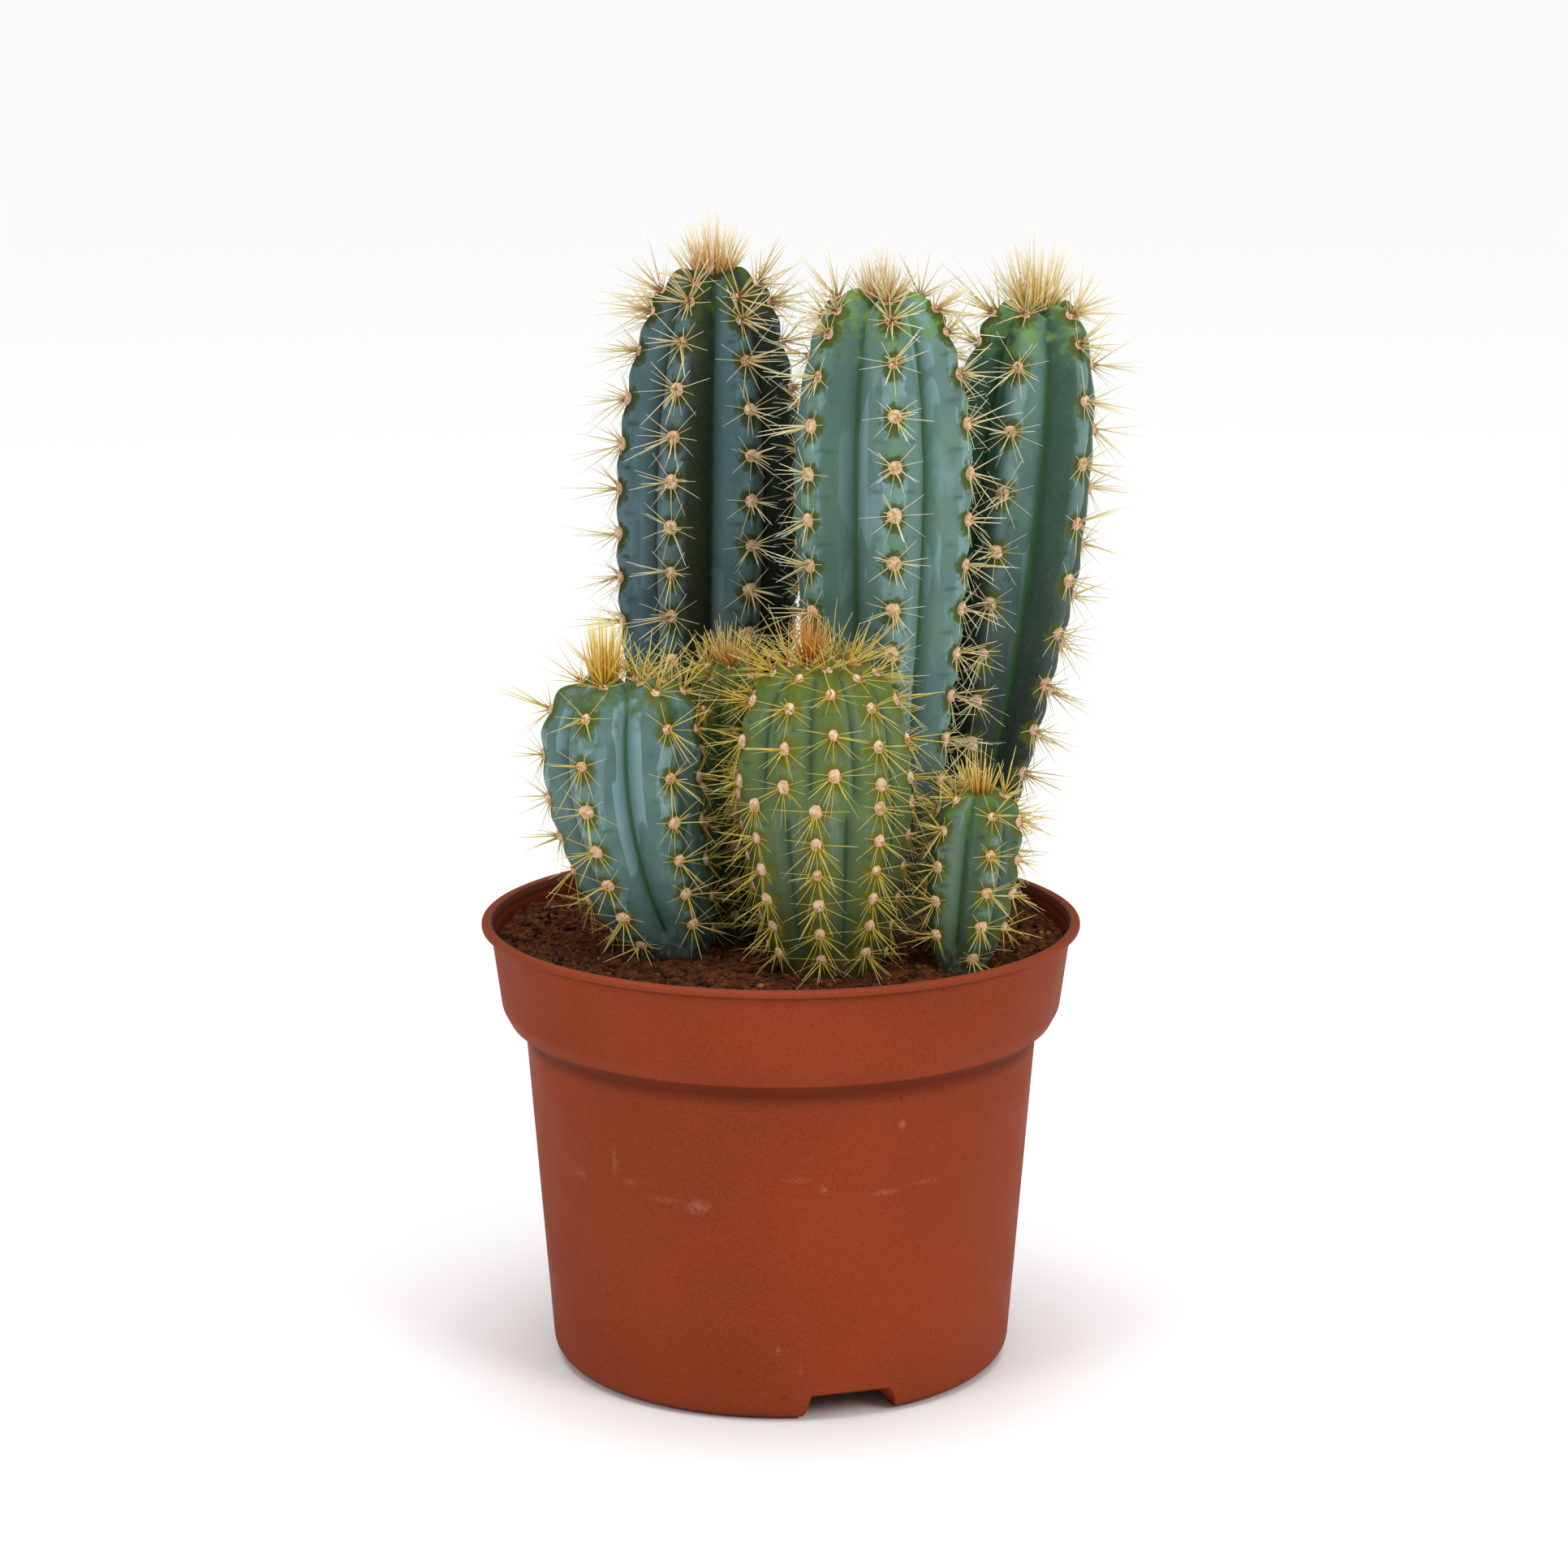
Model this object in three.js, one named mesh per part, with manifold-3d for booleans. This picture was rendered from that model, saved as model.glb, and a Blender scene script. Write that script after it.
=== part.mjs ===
// Potted blue torch cactus: seven ribbed stems standing in peat in a plastic nursery pot.
// Millimetres, +Z up. Bearings are degrees from the front (-Y), turning towards +X.

import * as THREE from 'three';
import { mergeVertices } from 'three/addons/utils/BufferGeometryUtils.js';
import Module from 'manifold-3d';

const wasm = await Module();
wasm.setup();

// Fit between pieces
const GAP = 0.3;
const SPINE_CLEARANCE = 0.5;
const WELD = 1e-4;
const SHORTEST_EDGE = 0.004;

// Pot
const POT_SIDES = 48;
const POT_HEIGHT = 128;
const LIP_RADIUS = 85;
const LIP_DEPTH = 4;
const COLLAR_TOP_RADIUS = 82.5;
const COLLAR_FOOT_RADIUS = 79.3;
const COLLAR_FOOT_HEIGHT = 102;
const SHOULDER_HEIGHT = 96.7;
const BODY_TOP_RADIUS = 72.8;
const BODY_FOOT_RADIUS = 65.7;
const FOOT_FILLET = 6;
const FILLET_STEPS = 3;
const FOOT_RING_INNER = 56.5;
const WALL = 1.5;
const PLATE_HEIGHT = 5.5;

// Notches in the foot ring, and drain holes in the base plate
const NOTCH_BEARINGS = [18, 138, 258];
const NOTCH_HEIGHT = 4.8;
const NOTCH_FOOT_WIDTH = 26;
const NOTCH_TOP_WIDTH = 20;
const NOTCH_INNER = 54;
const NOTCH_OUTER = 72;
const DRAIN_RADIUS = 4.5;
const DRAIN_CIRCLE = 38;
const DRAIN_COUNT = 8;
const DRAIN_SIDES = 10;

// Soil
const SOIL_LEVEL = 124;
const SOIL_RINGS = [64, 44, 22];
const SOIL_EDGE_DROP = 1.5;
const SOIL_ROUGHNESS = 0.8;

// Buried foot of each stem: [share of the foot's radius, depth below the soil level]
const FOOT_STEPS = [[0.5, 22], [0.85, 18], [1, 6]];
const HOLE_TOP = 7;
const HOLE_SIDES = 14;
const HOLE_GAP = 0.8;

// Ribs: where they fade out at the foot, and the columns of corners from one crest to the next
const RIB_START = -4;
const RIB_FULL = 8;
const RIB_POWER = 1.5;
const CREST_HALF_WIDTH = 2.4;
const CREST_SHARE = 0.27;
const FLANK_SHARE = 0.62;
const CREST_WAVE = 0.5;

// Wool pad with three spines, and how a spine is turned or shortened where it would touch a piece
const PAD_RADIUS = 1.3;
const PAD_WIDTH_SHARE = 0.66;
const PAD_LIFT = 0.5;
const PAD_HEIGHT = 1.6;
const PAD_STAGGER = 0.4;
const LOWEST_PAD = 4;
const SPINE_TILT = 50;
const SPINE_TRIES = [
  [0, 1], [12, 1], [-14, 1], [-28, 1], [20, 0.85], [0, 0.75], [-22, 0.75], [20, 0.6],
  [0, 0.5], [-26, 0.5], [16, 0.35], [0, 0.3], [-20, 0.25], [0, 0.18],
];
const SPINE_SAMPLES = 6;
const CROWN_TILT = 30;
const CROWN_UPTURN = 1.2;
const TUFT_RADIUS = 2.2;
const TUFT_HEIGHT = 4;
const TUFT_TILT = 8;
const TUFT_SPREAD = 12;
const PAD_CORNERS = [90, 210, 330];
const APEX_CORNERS = [90, 150, 210, 270, 330, 390];
const SPINE_REACH = 45;
const LENGTH_SPREAD = 0.2;
const TILT_SPREAD = 8;
const AROUND_SPREAD = 15;
const SEED = 1000;
const UPRIGHT = new THREE.Vector3(0, 0, 1);

// Stems. foot and crown are the axis at the soil and at the top, bow its sideways bend halfway up.
// outline is [radius at the rib crests, height above the soil], firstPad the height of the top pad.
const STEMS = [
  {
    name: 'stem_tall_left', colour: 0x3f6466, foot: [-21.3, 44], crown: [-19.6, 45], bow: [-0.8, 0],
    outline: [[17, 0], [22.5, 40], [25.6, 80], [27, 110], [26.3, 136], [23.8, 157], [20.6, 171],
      [16.2, 179.5], [9, 183], [0, 181]],
    ribs: evenRibs(7, -22.7), ribDepth: 0.3, firstPad: 172, padStep: 13.4, spine: 14, crownSpine: 16,
  },
  {
    name: 'stem_tall_middle', colour: 0x5f878b, foot: [26.5, 11], crown: [27.8, 11], bow: [0.4, 0],
    outline: [[15.5, 0], [19, 30], [21.2, 55], [25, 88], [27.1, 118], [26.8, 140], [24.4, 157],
      [19.6, 171], [14.5, 177.5], [8, 179.5], [0, 177.5]],
    ribs: evenRibs(6, 7.9), ribDepth: 0.3, firstPad: 169, padStep: 13.2, spine: 12.5, crownSpine: 14,
  },
  {
    name: 'stem_tall_right', colour: 0x4c7268, foot: [50, 42], crown: [72.5, 43], bow: [3, 0],
    outline: [[11.5, 0], [16.5, 37], [19, 61], [21.8, 90], [22.2, 125], [20.9, 145], [17.2, 162],
      [11, 173], [0, 172]],
    ribs: evenRibs(6, -14.5), ribDepth: 0.3, firstPad: 163, padStep: 14.2, spine: 14, crownSpine: 16,
  },
  {
    name: 'stem_short_left', colour: 0x5b858c, foot: [-30.5, -23], crown: [-43.3, -27], bow: [-5.4, -1],
    outline: [[11.5, 0], [16.2, 10], [19.4, 28], [21.4, 50], [21, 64], [17.6, 73.5], [9, 77.8],
      [0, 76]],
    ribs: evenRibs(6, 32.2), ribDepth: 0.28, firstPad: 69, padStep: 12.4, spine: 12.5, crownSpine: 18,
  },
  {
    name: 'stem_short_middle', colour: 0x5c7d57, foot: [12.8, -40], crown: [11.3, -37], bow: [-0.3, 0],
    outline: [[15.2, 0], [18.4, 12], [22, 29], [24.2, 44], [23.8, 56], [22, 67], [17.4, 76.5],
      [10, 82], [0, 81]],
    ribs: [-74, -30.3, 7.2, 41.3, 85, 125, 165, 205, 245], lowerRibs: [-54, -2, 46.6, 98, 150, 201, 253],
    ribChange: 43, ribDepth: 0.17, firstPad: 75, padStep: 10, spine: 10, crownSpine: 14,
  },
  {
    name: 'stem_short_right', colour: 0x567c74, foot: [50, -40], crown: [55.3, -38], bow: [2.2, 0],
    outline: [[7, 0], [10.2, 8], [12.6, 21], [12.8, 34], [10.8, 43], [6.5, 48.5], [0, 48]],
    ribs: evenRibs(6, 14.5), ribDepth: 0.26, firstPad: 43, padStep: 9.8, spine: 9.5, crownSpine: 13,
  },
  {
    name: 'stem_short_back', colour: 0x4a6b45, foot: [-14.4, -2], crown: [-15, -1], bow: [0, 0],
    outline: [[9, 0], [11, 20], [13.2, 46], [12.6, 62], [8.5, 75], [4.5, 77.5], [0, 76.5]],
    ribs: evenRibs(8, 10), ribDepth: 0.2, firstPad: 70, padStep: 11, spine: 8.5, crownSpine: 12,
  },
];

function evenRibs(count, first) {
  return Array.from({ length: count }, (_, i) => first + (i * 360) / count);
}

// A direction level with the ground at a bearing
function towards(bearing) {
  const angle = THREE.MathUtils.degToRad(bearing);
  return new THREE.Vector3(Math.sin(angle), -Math.cos(angle), 0);
}

// Repeatable random numbers between -1 and 1
function seededDraw(seed) {
  let state = seed;
  return () => {
    state = (state * 1664525 + 1013904223) % 4294967296;
    return (state / 4294967296) * 2 - 1;
  };
}

// A closed geometry as a solid that can be joined and cut
function solidOf(geometry) {
  const bare = geometry.clone();
  bare.deleteAttribute('normal');
  bare.deleteAttribute('uv');
  const welded = mergeVertices(bare, WELD);
  const corners = welded.index.array;
  const kept = [];
  for (let i = 0; i < corners.length; i += 3) {
    const [a, b, c] = corners.slice(i, i + 3);
    if (a !== b && b !== c && c !== a) kept.push(a, b, c);
  }
  return new wasm.Manifold(new wasm.Mesh({
    numProp: 3,
    vertProperties: welded.attributes.position.array,
    triVerts: Uint32Array.from(kept),
  }));
}

// The outer skin of a solid as a geometry: loose scraps and sealed hollows are left out
function geometryOf(solid) {
  const pieces = solid.simplify(SHORTEST_EDGE).decompose();
  const main = pieces.reduce((best, piece) => (piece.volume() > best.volume() ? piece : best));
  const mesh = main.getMesh();
  const geometry = new THREE.BufferGeometry();
  geometry.setAttribute('position', new THREE.BufferAttribute(mesh.vertProperties, 3));
  geometry.setIndex(new THREE.BufferAttribute(mesh.triVerts, 1));
  geometry.computeVertexNormals();
  return geometry;
}

function named(name, geometry, colour, roughness) {
  const material = new THREE.MeshStandardMaterial({ color: colour, roughness, metalness: 0 });
  const mesh = new THREE.Mesh(geometry, material);
  mesh.name = name;
  return mesh;
}

// A turned shape about the upright axis, from points of [radius, height]
function turned(points, sides, firstBearing = 0) {
  const profile = points.map(([radius, height]) => new THREE.Vector2(radius, height));
  const start = THREE.MathUtils.degToRad(firstBearing);
  return new THREE.LatheGeometry(profile, sides, start, Math.PI * 2).rotateX(Math.PI / 2);
}

// Pot
function filletPoints() {
  const centre = [BODY_FOOT_RADIUS - FOOT_FILLET, FOOT_FILLET];
  return Array.from({ length: FILLET_STEPS + 1 }, (_, i) => {
    const angle = (i / FILLET_STEPS - 1) * Math.PI / 2;
    return [centre[0] + FOOT_FILLET * Math.cos(angle), centre[1] + FOOT_FILLET * Math.sin(angle)];
  });
}

function innerWall(inset) {
  const side = WALL + inset;
  return [
    [BODY_FOOT_RADIUS - side - 4, PLATE_HEIGHT + side],
    [BODY_FOOT_RADIUS - side, PLATE_HEIGHT + side + 4],
    [BODY_TOP_RADIUS - side, SHOULDER_HEIGHT + WALL],
    [COLLAR_FOOT_RADIUS - side, COLLAR_FOOT_HEIGHT + WALL],
    [COLLAR_TOP_RADIUS - side, POT_HEIGHT - LIP_DEPTH],
  ];
}

function pot() {
  const outside = [
    [0, PLATE_HEIGHT],
    [FOOT_RING_INNER + 0.5, PLATE_HEIGHT],
    [FOOT_RING_INNER, 0],
    ...filletPoints(),
    [BODY_TOP_RADIUS, SHOULDER_HEIGHT],
    [BODY_TOP_RADIUS + 4.5, SHOULDER_HEIGHT + 1.6],
    [COLLAR_FOOT_RADIUS, COLLAR_FOOT_HEIGHT],
    [COLLAR_TOP_RADIUS, POT_HEIGHT - LIP_DEPTH],
    [LIP_RADIUS, POT_HEIGHT - LIP_DEPTH + 1],
    [LIP_RADIUS, POT_HEIGHT - 1],
    [LIP_RADIUS - 1, POT_HEIGHT],
  ];
  const inside = innerWall(0).reverse();
  const lip = [LIP_RADIUS - 2.6, POT_HEIGHT];
  const points = [...outside, lip, ...inside, [0, PLATE_HEIGHT + WALL]];
  let solid = solidOf(turned(points, POT_SIDES));
  for (const bearing of NOTCH_BEARINGS) solid = solid.subtract(notch(bearing));
  for (let i = 0; i < DRAIN_COUNT; i += 1) {
    solid = solid.subtract(drain(towards((i * 360) / DRAIN_COUNT).multiplyScalar(DRAIN_CIRCLE)));
  }
  solid = solid.subtract(drain(new THREE.Vector3()));
  return named('pot', geometryOf(solid), 0x96462a, 0.45);
}

function notch(bearing) {
  const half = NOTCH_FOOT_WIDTH / 2;
  const below = 2;
  const spread = ((NOTCH_FOOT_WIDTH - NOTCH_TOP_WIDTH) / 2) * (below / NOTCH_HEIGHT);
  const outline = new THREE.Shape([
    new THREE.Vector2(-half - spread, -below),
    new THREE.Vector2(half + spread, -below),
    new THREE.Vector2(NOTCH_TOP_WIDTH / 2, NOTCH_HEIGHT),
    new THREE.Vector2(-NOTCH_TOP_WIDTH / 2, NOTCH_HEIGHT),
  ]);
  const block = new THREE.ExtrudeGeometry(outline, {
    depth: NOTCH_OUTER - NOTCH_INNER,
    bevelEnabled: false,
  });
  block.rotateX(Math.PI / 2);
  block.translate(0, -NOTCH_INNER, 0);
  block.rotateZ(THREE.MathUtils.degToRad(bearing));
  return solidOf(block);
}

function drain(place) {
  const length = WALL * 4;
  const hole = new THREE.CylinderGeometry(DRAIN_RADIUS, DRAIN_RADIUS, length, DRAIN_SIDES);
  hole.rotateX(Math.PI / 2);
  hole.translate(place.x, place.y, PLATE_HEIGHT + WALL / 2);
  return solidOf(hole);
}

// Stem shape
function centreAt(stem, height) {
  const top = stem.outline[stem.outline.length - 1][1];
  const share = THREE.MathUtils.clamp(height / top, 0, 1);
  const bend = 4 * share * (1 - share);
  return new THREE.Vector3(
    THREE.MathUtils.lerp(stem.foot[0], stem.crown[0], share) + stem.bow[0] * bend,
    THREE.MathUtils.lerp(stem.foot[1], stem.crown[1], share) + stem.bow[1] * bend,
    SOIL_LEVEL + height,
  );
}

// Crest radius at a height, and how fast it grows with the height
function crestAt(stem, height) {
  const points = stem.outline;
  const last = points.length - 2;
  let i = 0;
  while (i < last - 1 && points[i + 1][1] < height) i += 1;
  const [fromRadius, fromHeight] = points[i];
  const [toRadius, toHeight] = points[i + 1];
  const slope = (toRadius - fromRadius) / (toHeight - fromHeight);
  const radius = fromRadius + slope * (height - fromHeight);
  return { radius: Math.max(radius, 0), slope };
}

// 0 at a rib's crest and 1 in the valley between two ribs
function valleyShare(ribs, bearing) {
  const turn = (value) => THREE.MathUtils.euclideanModulo(value, 360);
  const ahead = Math.min(...ribs.map((rib) => turn(rib - bearing)));
  const behind = Math.min(...ribs.map((rib) => turn(bearing - rib)));
  return 1 - Math.abs(1 - (2 * behind) / (ahead + behind || 1));
}

function ribsAt(stem, height) {
  return stem.lowerRibs && height < stem.ribChange ? stem.lowerRibs : stem.ribs;
}

// The skin's share of the crest radius
function ribFactor(stem, ribs, bearing, height) {
  const depth = stem.ribDepth * THREE.MathUtils.smoothstep(height, RIB_START, RIB_FULL);
  return 1 - depth * valleyShare(ribs, bearing) ** RIB_POWER;
}

// The skin of one stem while it is built, as corners and faces
class Skin {
  constructor(stem, seed) {
    this.stem = stem;
    this.draw = seededDraw(seed);
    this.corners = [];
    this.faces = [];
  }

  add(corner) {
    this.corners.push(corner);
    return this.corners.length - 1;
  }

  face(...ends) {
    for (let i = 2; i < ends.length; i += 1) this.faces.push(ends[0], ends[i - 1], ends[i]);
  }

  geometry() {
    const geometry = new THREE.BufferGeometry().setFromPoints(this.corners);
    geometry.setIndex(this.faces);
    geometry.computeVertexNormals();
    return geometry;
  }
}

// Columns of corners for one rib: the crest's two edges, a flank, the valley and the next flank.
// Each is [bearing, share of the stagger]; odd ribs have their pads lower than even ones.
function columnsOf(ribs, i, radius) {
  const rib = ribs[i];
  const half = ((ribs[i + 1] ?? ribs[0] + 360) - rib) / 2;
  const before = (rib - (ribs[i - 1] ?? ribs[ribs.length - 1] - 360)) / 2;
  const narrow = Math.min(half, before) * CREST_SHARE;
  const edge = Math.min(THREE.MathUtils.radToDeg(CREST_HALF_WIDTH / radius), narrow);
  const own = i % 2;
  const next = i + 1 === ribs.length ? 0 : 1 - own;
  return [
    [rib - edge, own],
    [rib + edge, own],
    [rib + half * FLANK_SHARE, THREE.MathUtils.lerp(own, next, 0.25)],
    [rib + half, THREE.MathUtils.lerp(own, next, 0.5)],
    [rib + half * (2 - FLANK_SHARE), THREE.MathUtils.lerp(own, next, 0.75)],
  ];
}

// One ring of corners round the stem
function ring(skin, ribs, level) {
  const corners = [];
  ribs.forEach((_, i) => {
    columnsOf(ribs, i, level.radius).forEach(([bearing, share], column) => {
      const height = level.height - share * level.stagger;
      const radius = level.stagger ? crestAt(skin.stem, height).radius : level.radius;
      const crest = radius - (column < 2 ? level.wave : 0);
      const spot = towards(bearing);
      spot.multiplyScalar(crest * ribFactor(skin.stem, ribs, bearing, height));
      spot.add(centreAt(skin.stem, height)).setZ(SOIL_LEVEL + height);
      corners.push({ bearing, index: skin.add(spot) });
    });
  });
  return corners;
}

// Joins two rings whose corners differ in number
function stitch(skin, lower, upper) {
  const at = (corners, i) => corners[i % corners.length].index;
  const bearing = (corners, i) => (
    corners[i % corners.length].bearing + (i >= corners.length ? 360 : 0)
  );
  let i = 0;
  let j = 0;
  while (i < lower.length || j < upper.length) {
    const lowerNext = i < lower.length ? bearing(lower, i + 1) : Infinity;
    const upperNext = j < upper.length ? bearing(upper, j + 1) : Infinity;
    if (lowerNext < upperNext) {
      skin.face(at(lower, i), at(lower, i + 1), at(upper, j));
      i += 1;
    } else {
      skin.face(at(lower, i), at(upper, j + 1), at(upper, j));
      j += 1;
    }
  }
}

// Joins two rings of the same ribs, with a wool pad on each crest above the soil
function band(skin, lower, upper, hasPads) {
  lower.forEach((corner, i) => {
    const next = (i + 1) % lower.length;
    const quad = [corner.index, lower[next].index, upper[next].index, upper[i].index];
    const onCrest = i % 5 === 0;
    if (!(hasPads && onCrest && padOn(skin, quad))) skin.face(...quad);
  });
}

// Spines
const placedSpines = [];

function spineRadius(share) {
  return PAD_RADIUS * (1 - share) * 0.8;
}

// Shortest distance from one spine to another, less their thickness where they pass
function gapBetween(a, b) {
  const line = new THREE.Line3(b.root, b.tip);
  let least = Infinity;
  for (let i = 0; i <= SPINE_SAMPLES; i += 1) {
    const share = i / SPINE_SAMPLES;
    const spot = a.root.clone().lerp(a.tip, share);
    const other = THREE.MathUtils.clamp(line.closestPointToPointParameter(spot, false), 0, 1);
    const distance = spot.distanceTo(line.at(other, new THREE.Vector3()));
    least = Math.min(least, distance - spineRadius(share) - spineRadius(other));
  }
  return least;
}

function clearOfPot(spot) {
  if (spot.z > POT_HEIGHT + 1) return true;
  const inside = Math.hypot(spot.x, spot.y) < COLLAR_TOP_RADIUS - WALL - 2;
  return inside && spot.z > SOIL_LEVEL + SOIL_ROUGHNESS + 0.8;
}

function clearOfStem(stem, spot, isOwn) {
  const height = spot.z - SOIL_LEVEL;
  const top = stem.outline[stem.outline.length - 1][1];
  if (height > top + PAD_HEIGHT + 2) return true;
  const level = Math.min(height, top);
  const offset = spot.clone().sub(centreAt(stem, level));
  const bearing = THREE.MathUtils.radToDeg(Math.atan2(offset.x, -offset.y));
  const factor = isOwn ? ribFactor(stem, ribsAt(stem, level), bearing, level) : 1;
  const margin = SPINE_CLEARANCE + (isOwn ? 0 : PAD_HEIGHT);
  return Math.hypot(offset.x, offset.y) > crestAt(stem, level).radius * factor + margin;
}

function isClear(spine) {
  for (let i = 2; i <= SPINE_SAMPLES; i += 1) {
    const spot = spine.root.clone().lerp(spine.tip, i / SPINE_SAMPLES);
    if (!clearOfPot(spot)) return false;
    if (!STEMS.every((stem) => clearOfStem(stem, spot, stem === spine.stem))) return false;
  }
  return placedSpines.every((other) => other.root === spine.root
    || other.root.distanceTo(spine.root) > SPINE_REACH
    || (gapBetween(spine, other) > SPINE_CLEARANCE && gapBetween(other, spine) > SPINE_CLEARANCE));
}

// A spine turned or shortened until it is clear
function clearSpine(skin, pad, sideways, tilt) {
  const reach = pad.length * (1 + LENGTH_SPREAD * skin.draw());
  const lean = tilt + TILT_SPREAD * skin.draw() * (tilt / SPINE_TILT);
  let spine;
  for (const [extra, share] of SPINE_TRIES) {
    const angle = THREE.MathUtils.degToRad(lean + extra);
    const tip = pad.root.clone().addScaledVector(pad.out, reach * share * Math.cos(angle))
      .addScaledVector(sideways, reach * share * Math.sin(angle));
    spine = { stem: skin.stem, root: pad.root, tip };
    if (isClear(spine)) break;
  }
  placedSpines.push(spine);
  return spine;
}

// Spines drawn out of the faces of a low pyramid that stands on a ring of corners
function addSpines(skin, pad, corners) {
  const top = skin.add(pad.root.clone().addScaledVector(pad.out, pad.height));
  const step = 360 / corners.length;
  corners.forEach((from, k) => {
    const to = corners[(k + 1) % corners.length];
    const angle = 90 + step * (k + 0.5) + AROUND_SPREAD * skin.draw() * (step / 120);
    const tilt = pad.tilt + (k % 2) * (pad.tiltStep ?? 0);
    const point = skin.add(clearSpine(skin, pad, pad.around(angle), tilt).tip);
    skin.face(from, to, point);
    skin.face(to, top, point);
    skin.face(top, from, point);
  });
}

// Directions round a pad, in degrees, 90 being up
function compass(up, out, turn) {
  const side = new THREE.Vector3().crossVectors(up, out);
  return (angle) => {
    const radians = THREE.MathUtils.degToRad(angle + turn);
    return side.clone().multiplyScalar(Math.cos(radians)).addScaledVector(up, Math.sin(radians));
  };
}

// A wool pad with spines amid a crest's four corners, given from lower left round to upper left
function padOn(skin, quad) {
  const [a, b, c, d] = quad.map((i) => skin.corners[i]);
  const middleOf = (one, two) => one.clone().lerp(two, 0.5);
  const [low, high] = [middleOf(a, b), middleOf(c, d)];
  const root = middleOf(low, high);
  const height = root.z - SOIL_LEVEL;
  if (height < LOWEST_PAD) return false;
  const out = new THREE.Vector3().crossVectors(c.clone().sub(a), d.clone().sub(b)).normalize();
  const up = high.clone().sub(low).normalize();
  const room = Math.min(a.distanceTo(b), c.distanceTo(d), low.distanceTo(high)) / 2;
  const around = compass(up, out, AROUND_SPREAD * skin.draw());
  root.addScaledVector(out, PAD_LIFT);
  const radius = Math.min(PAD_RADIUS, room * PAD_WIDTH_SHARE);
  const corners = PAD_CORNERS.map((angle) => (
    skin.add(root.clone().addScaledVector(around(angle), radius))
  ));
  const [top, left, right] = corners;
  skin.face(quad[0], quad[1], right, left);
  skin.face(quad[1], quad[2], right);
  skin.face(quad[2], top, right);
  skin.face(quad[2], quad[3], top);
  skin.face(quad[3], left, top);
  skin.face(quad[3], quad[0], left);
  const isCrown = height > skin.stem.firstPad + 1;
  if (isCrown) out.add(UPRIGHT.clone().multiplyScalar(CROWN_UPTURN)).normalize();
  addSpines(skin, {
    root,
    out,
    around,
    height: PAD_HEIGHT - PAD_LIFT,
    length: isCrown ? skin.stem.crownSpine : skin.stem.spine,
    tilt: isCrown ? CROWN_TILT : SPINE_TILT,
  }, corners);
  return true;
}

// The sunken apex, with the tallest spines
function apexOn(skin, below) {
  const { stem } = skin;
  const first = below[0].bearing;
  const root = centreAt(stem, stem.outline[stem.outline.length - 1][1]);
  const around = compass(towards(first), UPRIGHT, 0);
  const corners = APEX_CORNERS.map((angle) => (
    skin.add(root.clone().addScaledVector(around(angle), TUFT_RADIUS))
  ));
  const step = 360 / corners.length;
  stitch(skin, below, corners.map((index, k) => ({ index, bearing: first + step * k })));
  addSpines(skin, {
    root,
    out: UPRIGHT,
    around,
    height: TUFT_HEIGHT,
    length: stem.crownSpine,
    tilt: TUFT_TILT,
    tiltStep: TUFT_SPREAD,
  }, corners);
}

// Levels between the pads of one set of ribs, from the bottom up
function padLevels(stem, firstPad, lowest, evenTop) {
  const count = Math.floor((firstPad - lowest) / stem.padStep);
  return Array.from({ length: count + 2 }, (_, i) => {
    const height = firstPad + (i - count - 0.5) * stem.padStep;
    const isEven = i === 0 || (evenTop && i === count + 1);
    return {
      height,
      radius: crestAt(stem, height).radius,
      stagger: isEven ? 0 : PAD_STAGGER * stem.padStep,
      wave: CREST_WAVE,
    };
  });
}

// A stem from its buried foot to its apex
function stemMesh(stem, index) {
  const skin = new Skin(stem, SEED + index);
  const plainLevel = ([radius, height]) => ({ radius, height, stagger: 0, wave: 0 });
  const footRadius = stem.outline[0][0];
  const footRibs = stem.lowerRibs ?? stem.ribs;
  const bottom = skin.add(centreAt(stem, 0).setZ(SOIL_LEVEL - FOOT_STEPS[0][1]));
  let below = FOOT_STEPS.reduce((lower, [share, depth]) => {
    const corners = ring(skin, footRibs, plainLevel([footRadius * share, -depth]));
    if (lower) band(skin, lower, corners, false);
    else corners.forEach(({ index: left }, i) => {
      skin.face(bottom, corners[(i + 1) % corners.length].index, left);
    });
    return corners;
  }, null);

  const climb = (ribs, rows, padsFrom) => rows.forEach((level, i) => {
    const corners = ring(skin, ribs, level);
    if (corners.length === below.length) band(skin, below, corners, i >= padsFrom);
    else stitch(skin, below, corners);
    below = corners;
  });
  if (stem.lowerRibs) {
    climb(stem.lowerRibs, padLevels(stem, stem.ribChange - stem.padStep, LOWEST_PAD, true), 1);
  }
  climb(stem.ribs, padLevels(stem, stem.firstPad, stem.ribChange ?? LOWEST_PAD, false), 1);
  const domeFoot = stem.firstPad + stem.padStep / 2 + 1;
  const dome = stem.outline.filter(([radius, height]) => radius > 0 && height > domeFoot);
  climb(stem.ribs, dome.map(plainLevel), 0);
  apexOn(skin, below);
  return named(stem.name, skin.geometry(), stem.colour, 0.6);
}

// Soil, filling the pot, with a plain hole for each stem's foot
function soilBump(x, y) {
  const slow = Math.sin(x * 0.11 + 0.8) * Math.cos(y * 0.09 - 0.4);
  const quick = Math.sin(x * 0.27 - y * 0.22 + 1.9);
  return SOIL_ROUGHNESS * (0.6 * slow + 0.4 * quick);
}

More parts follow.
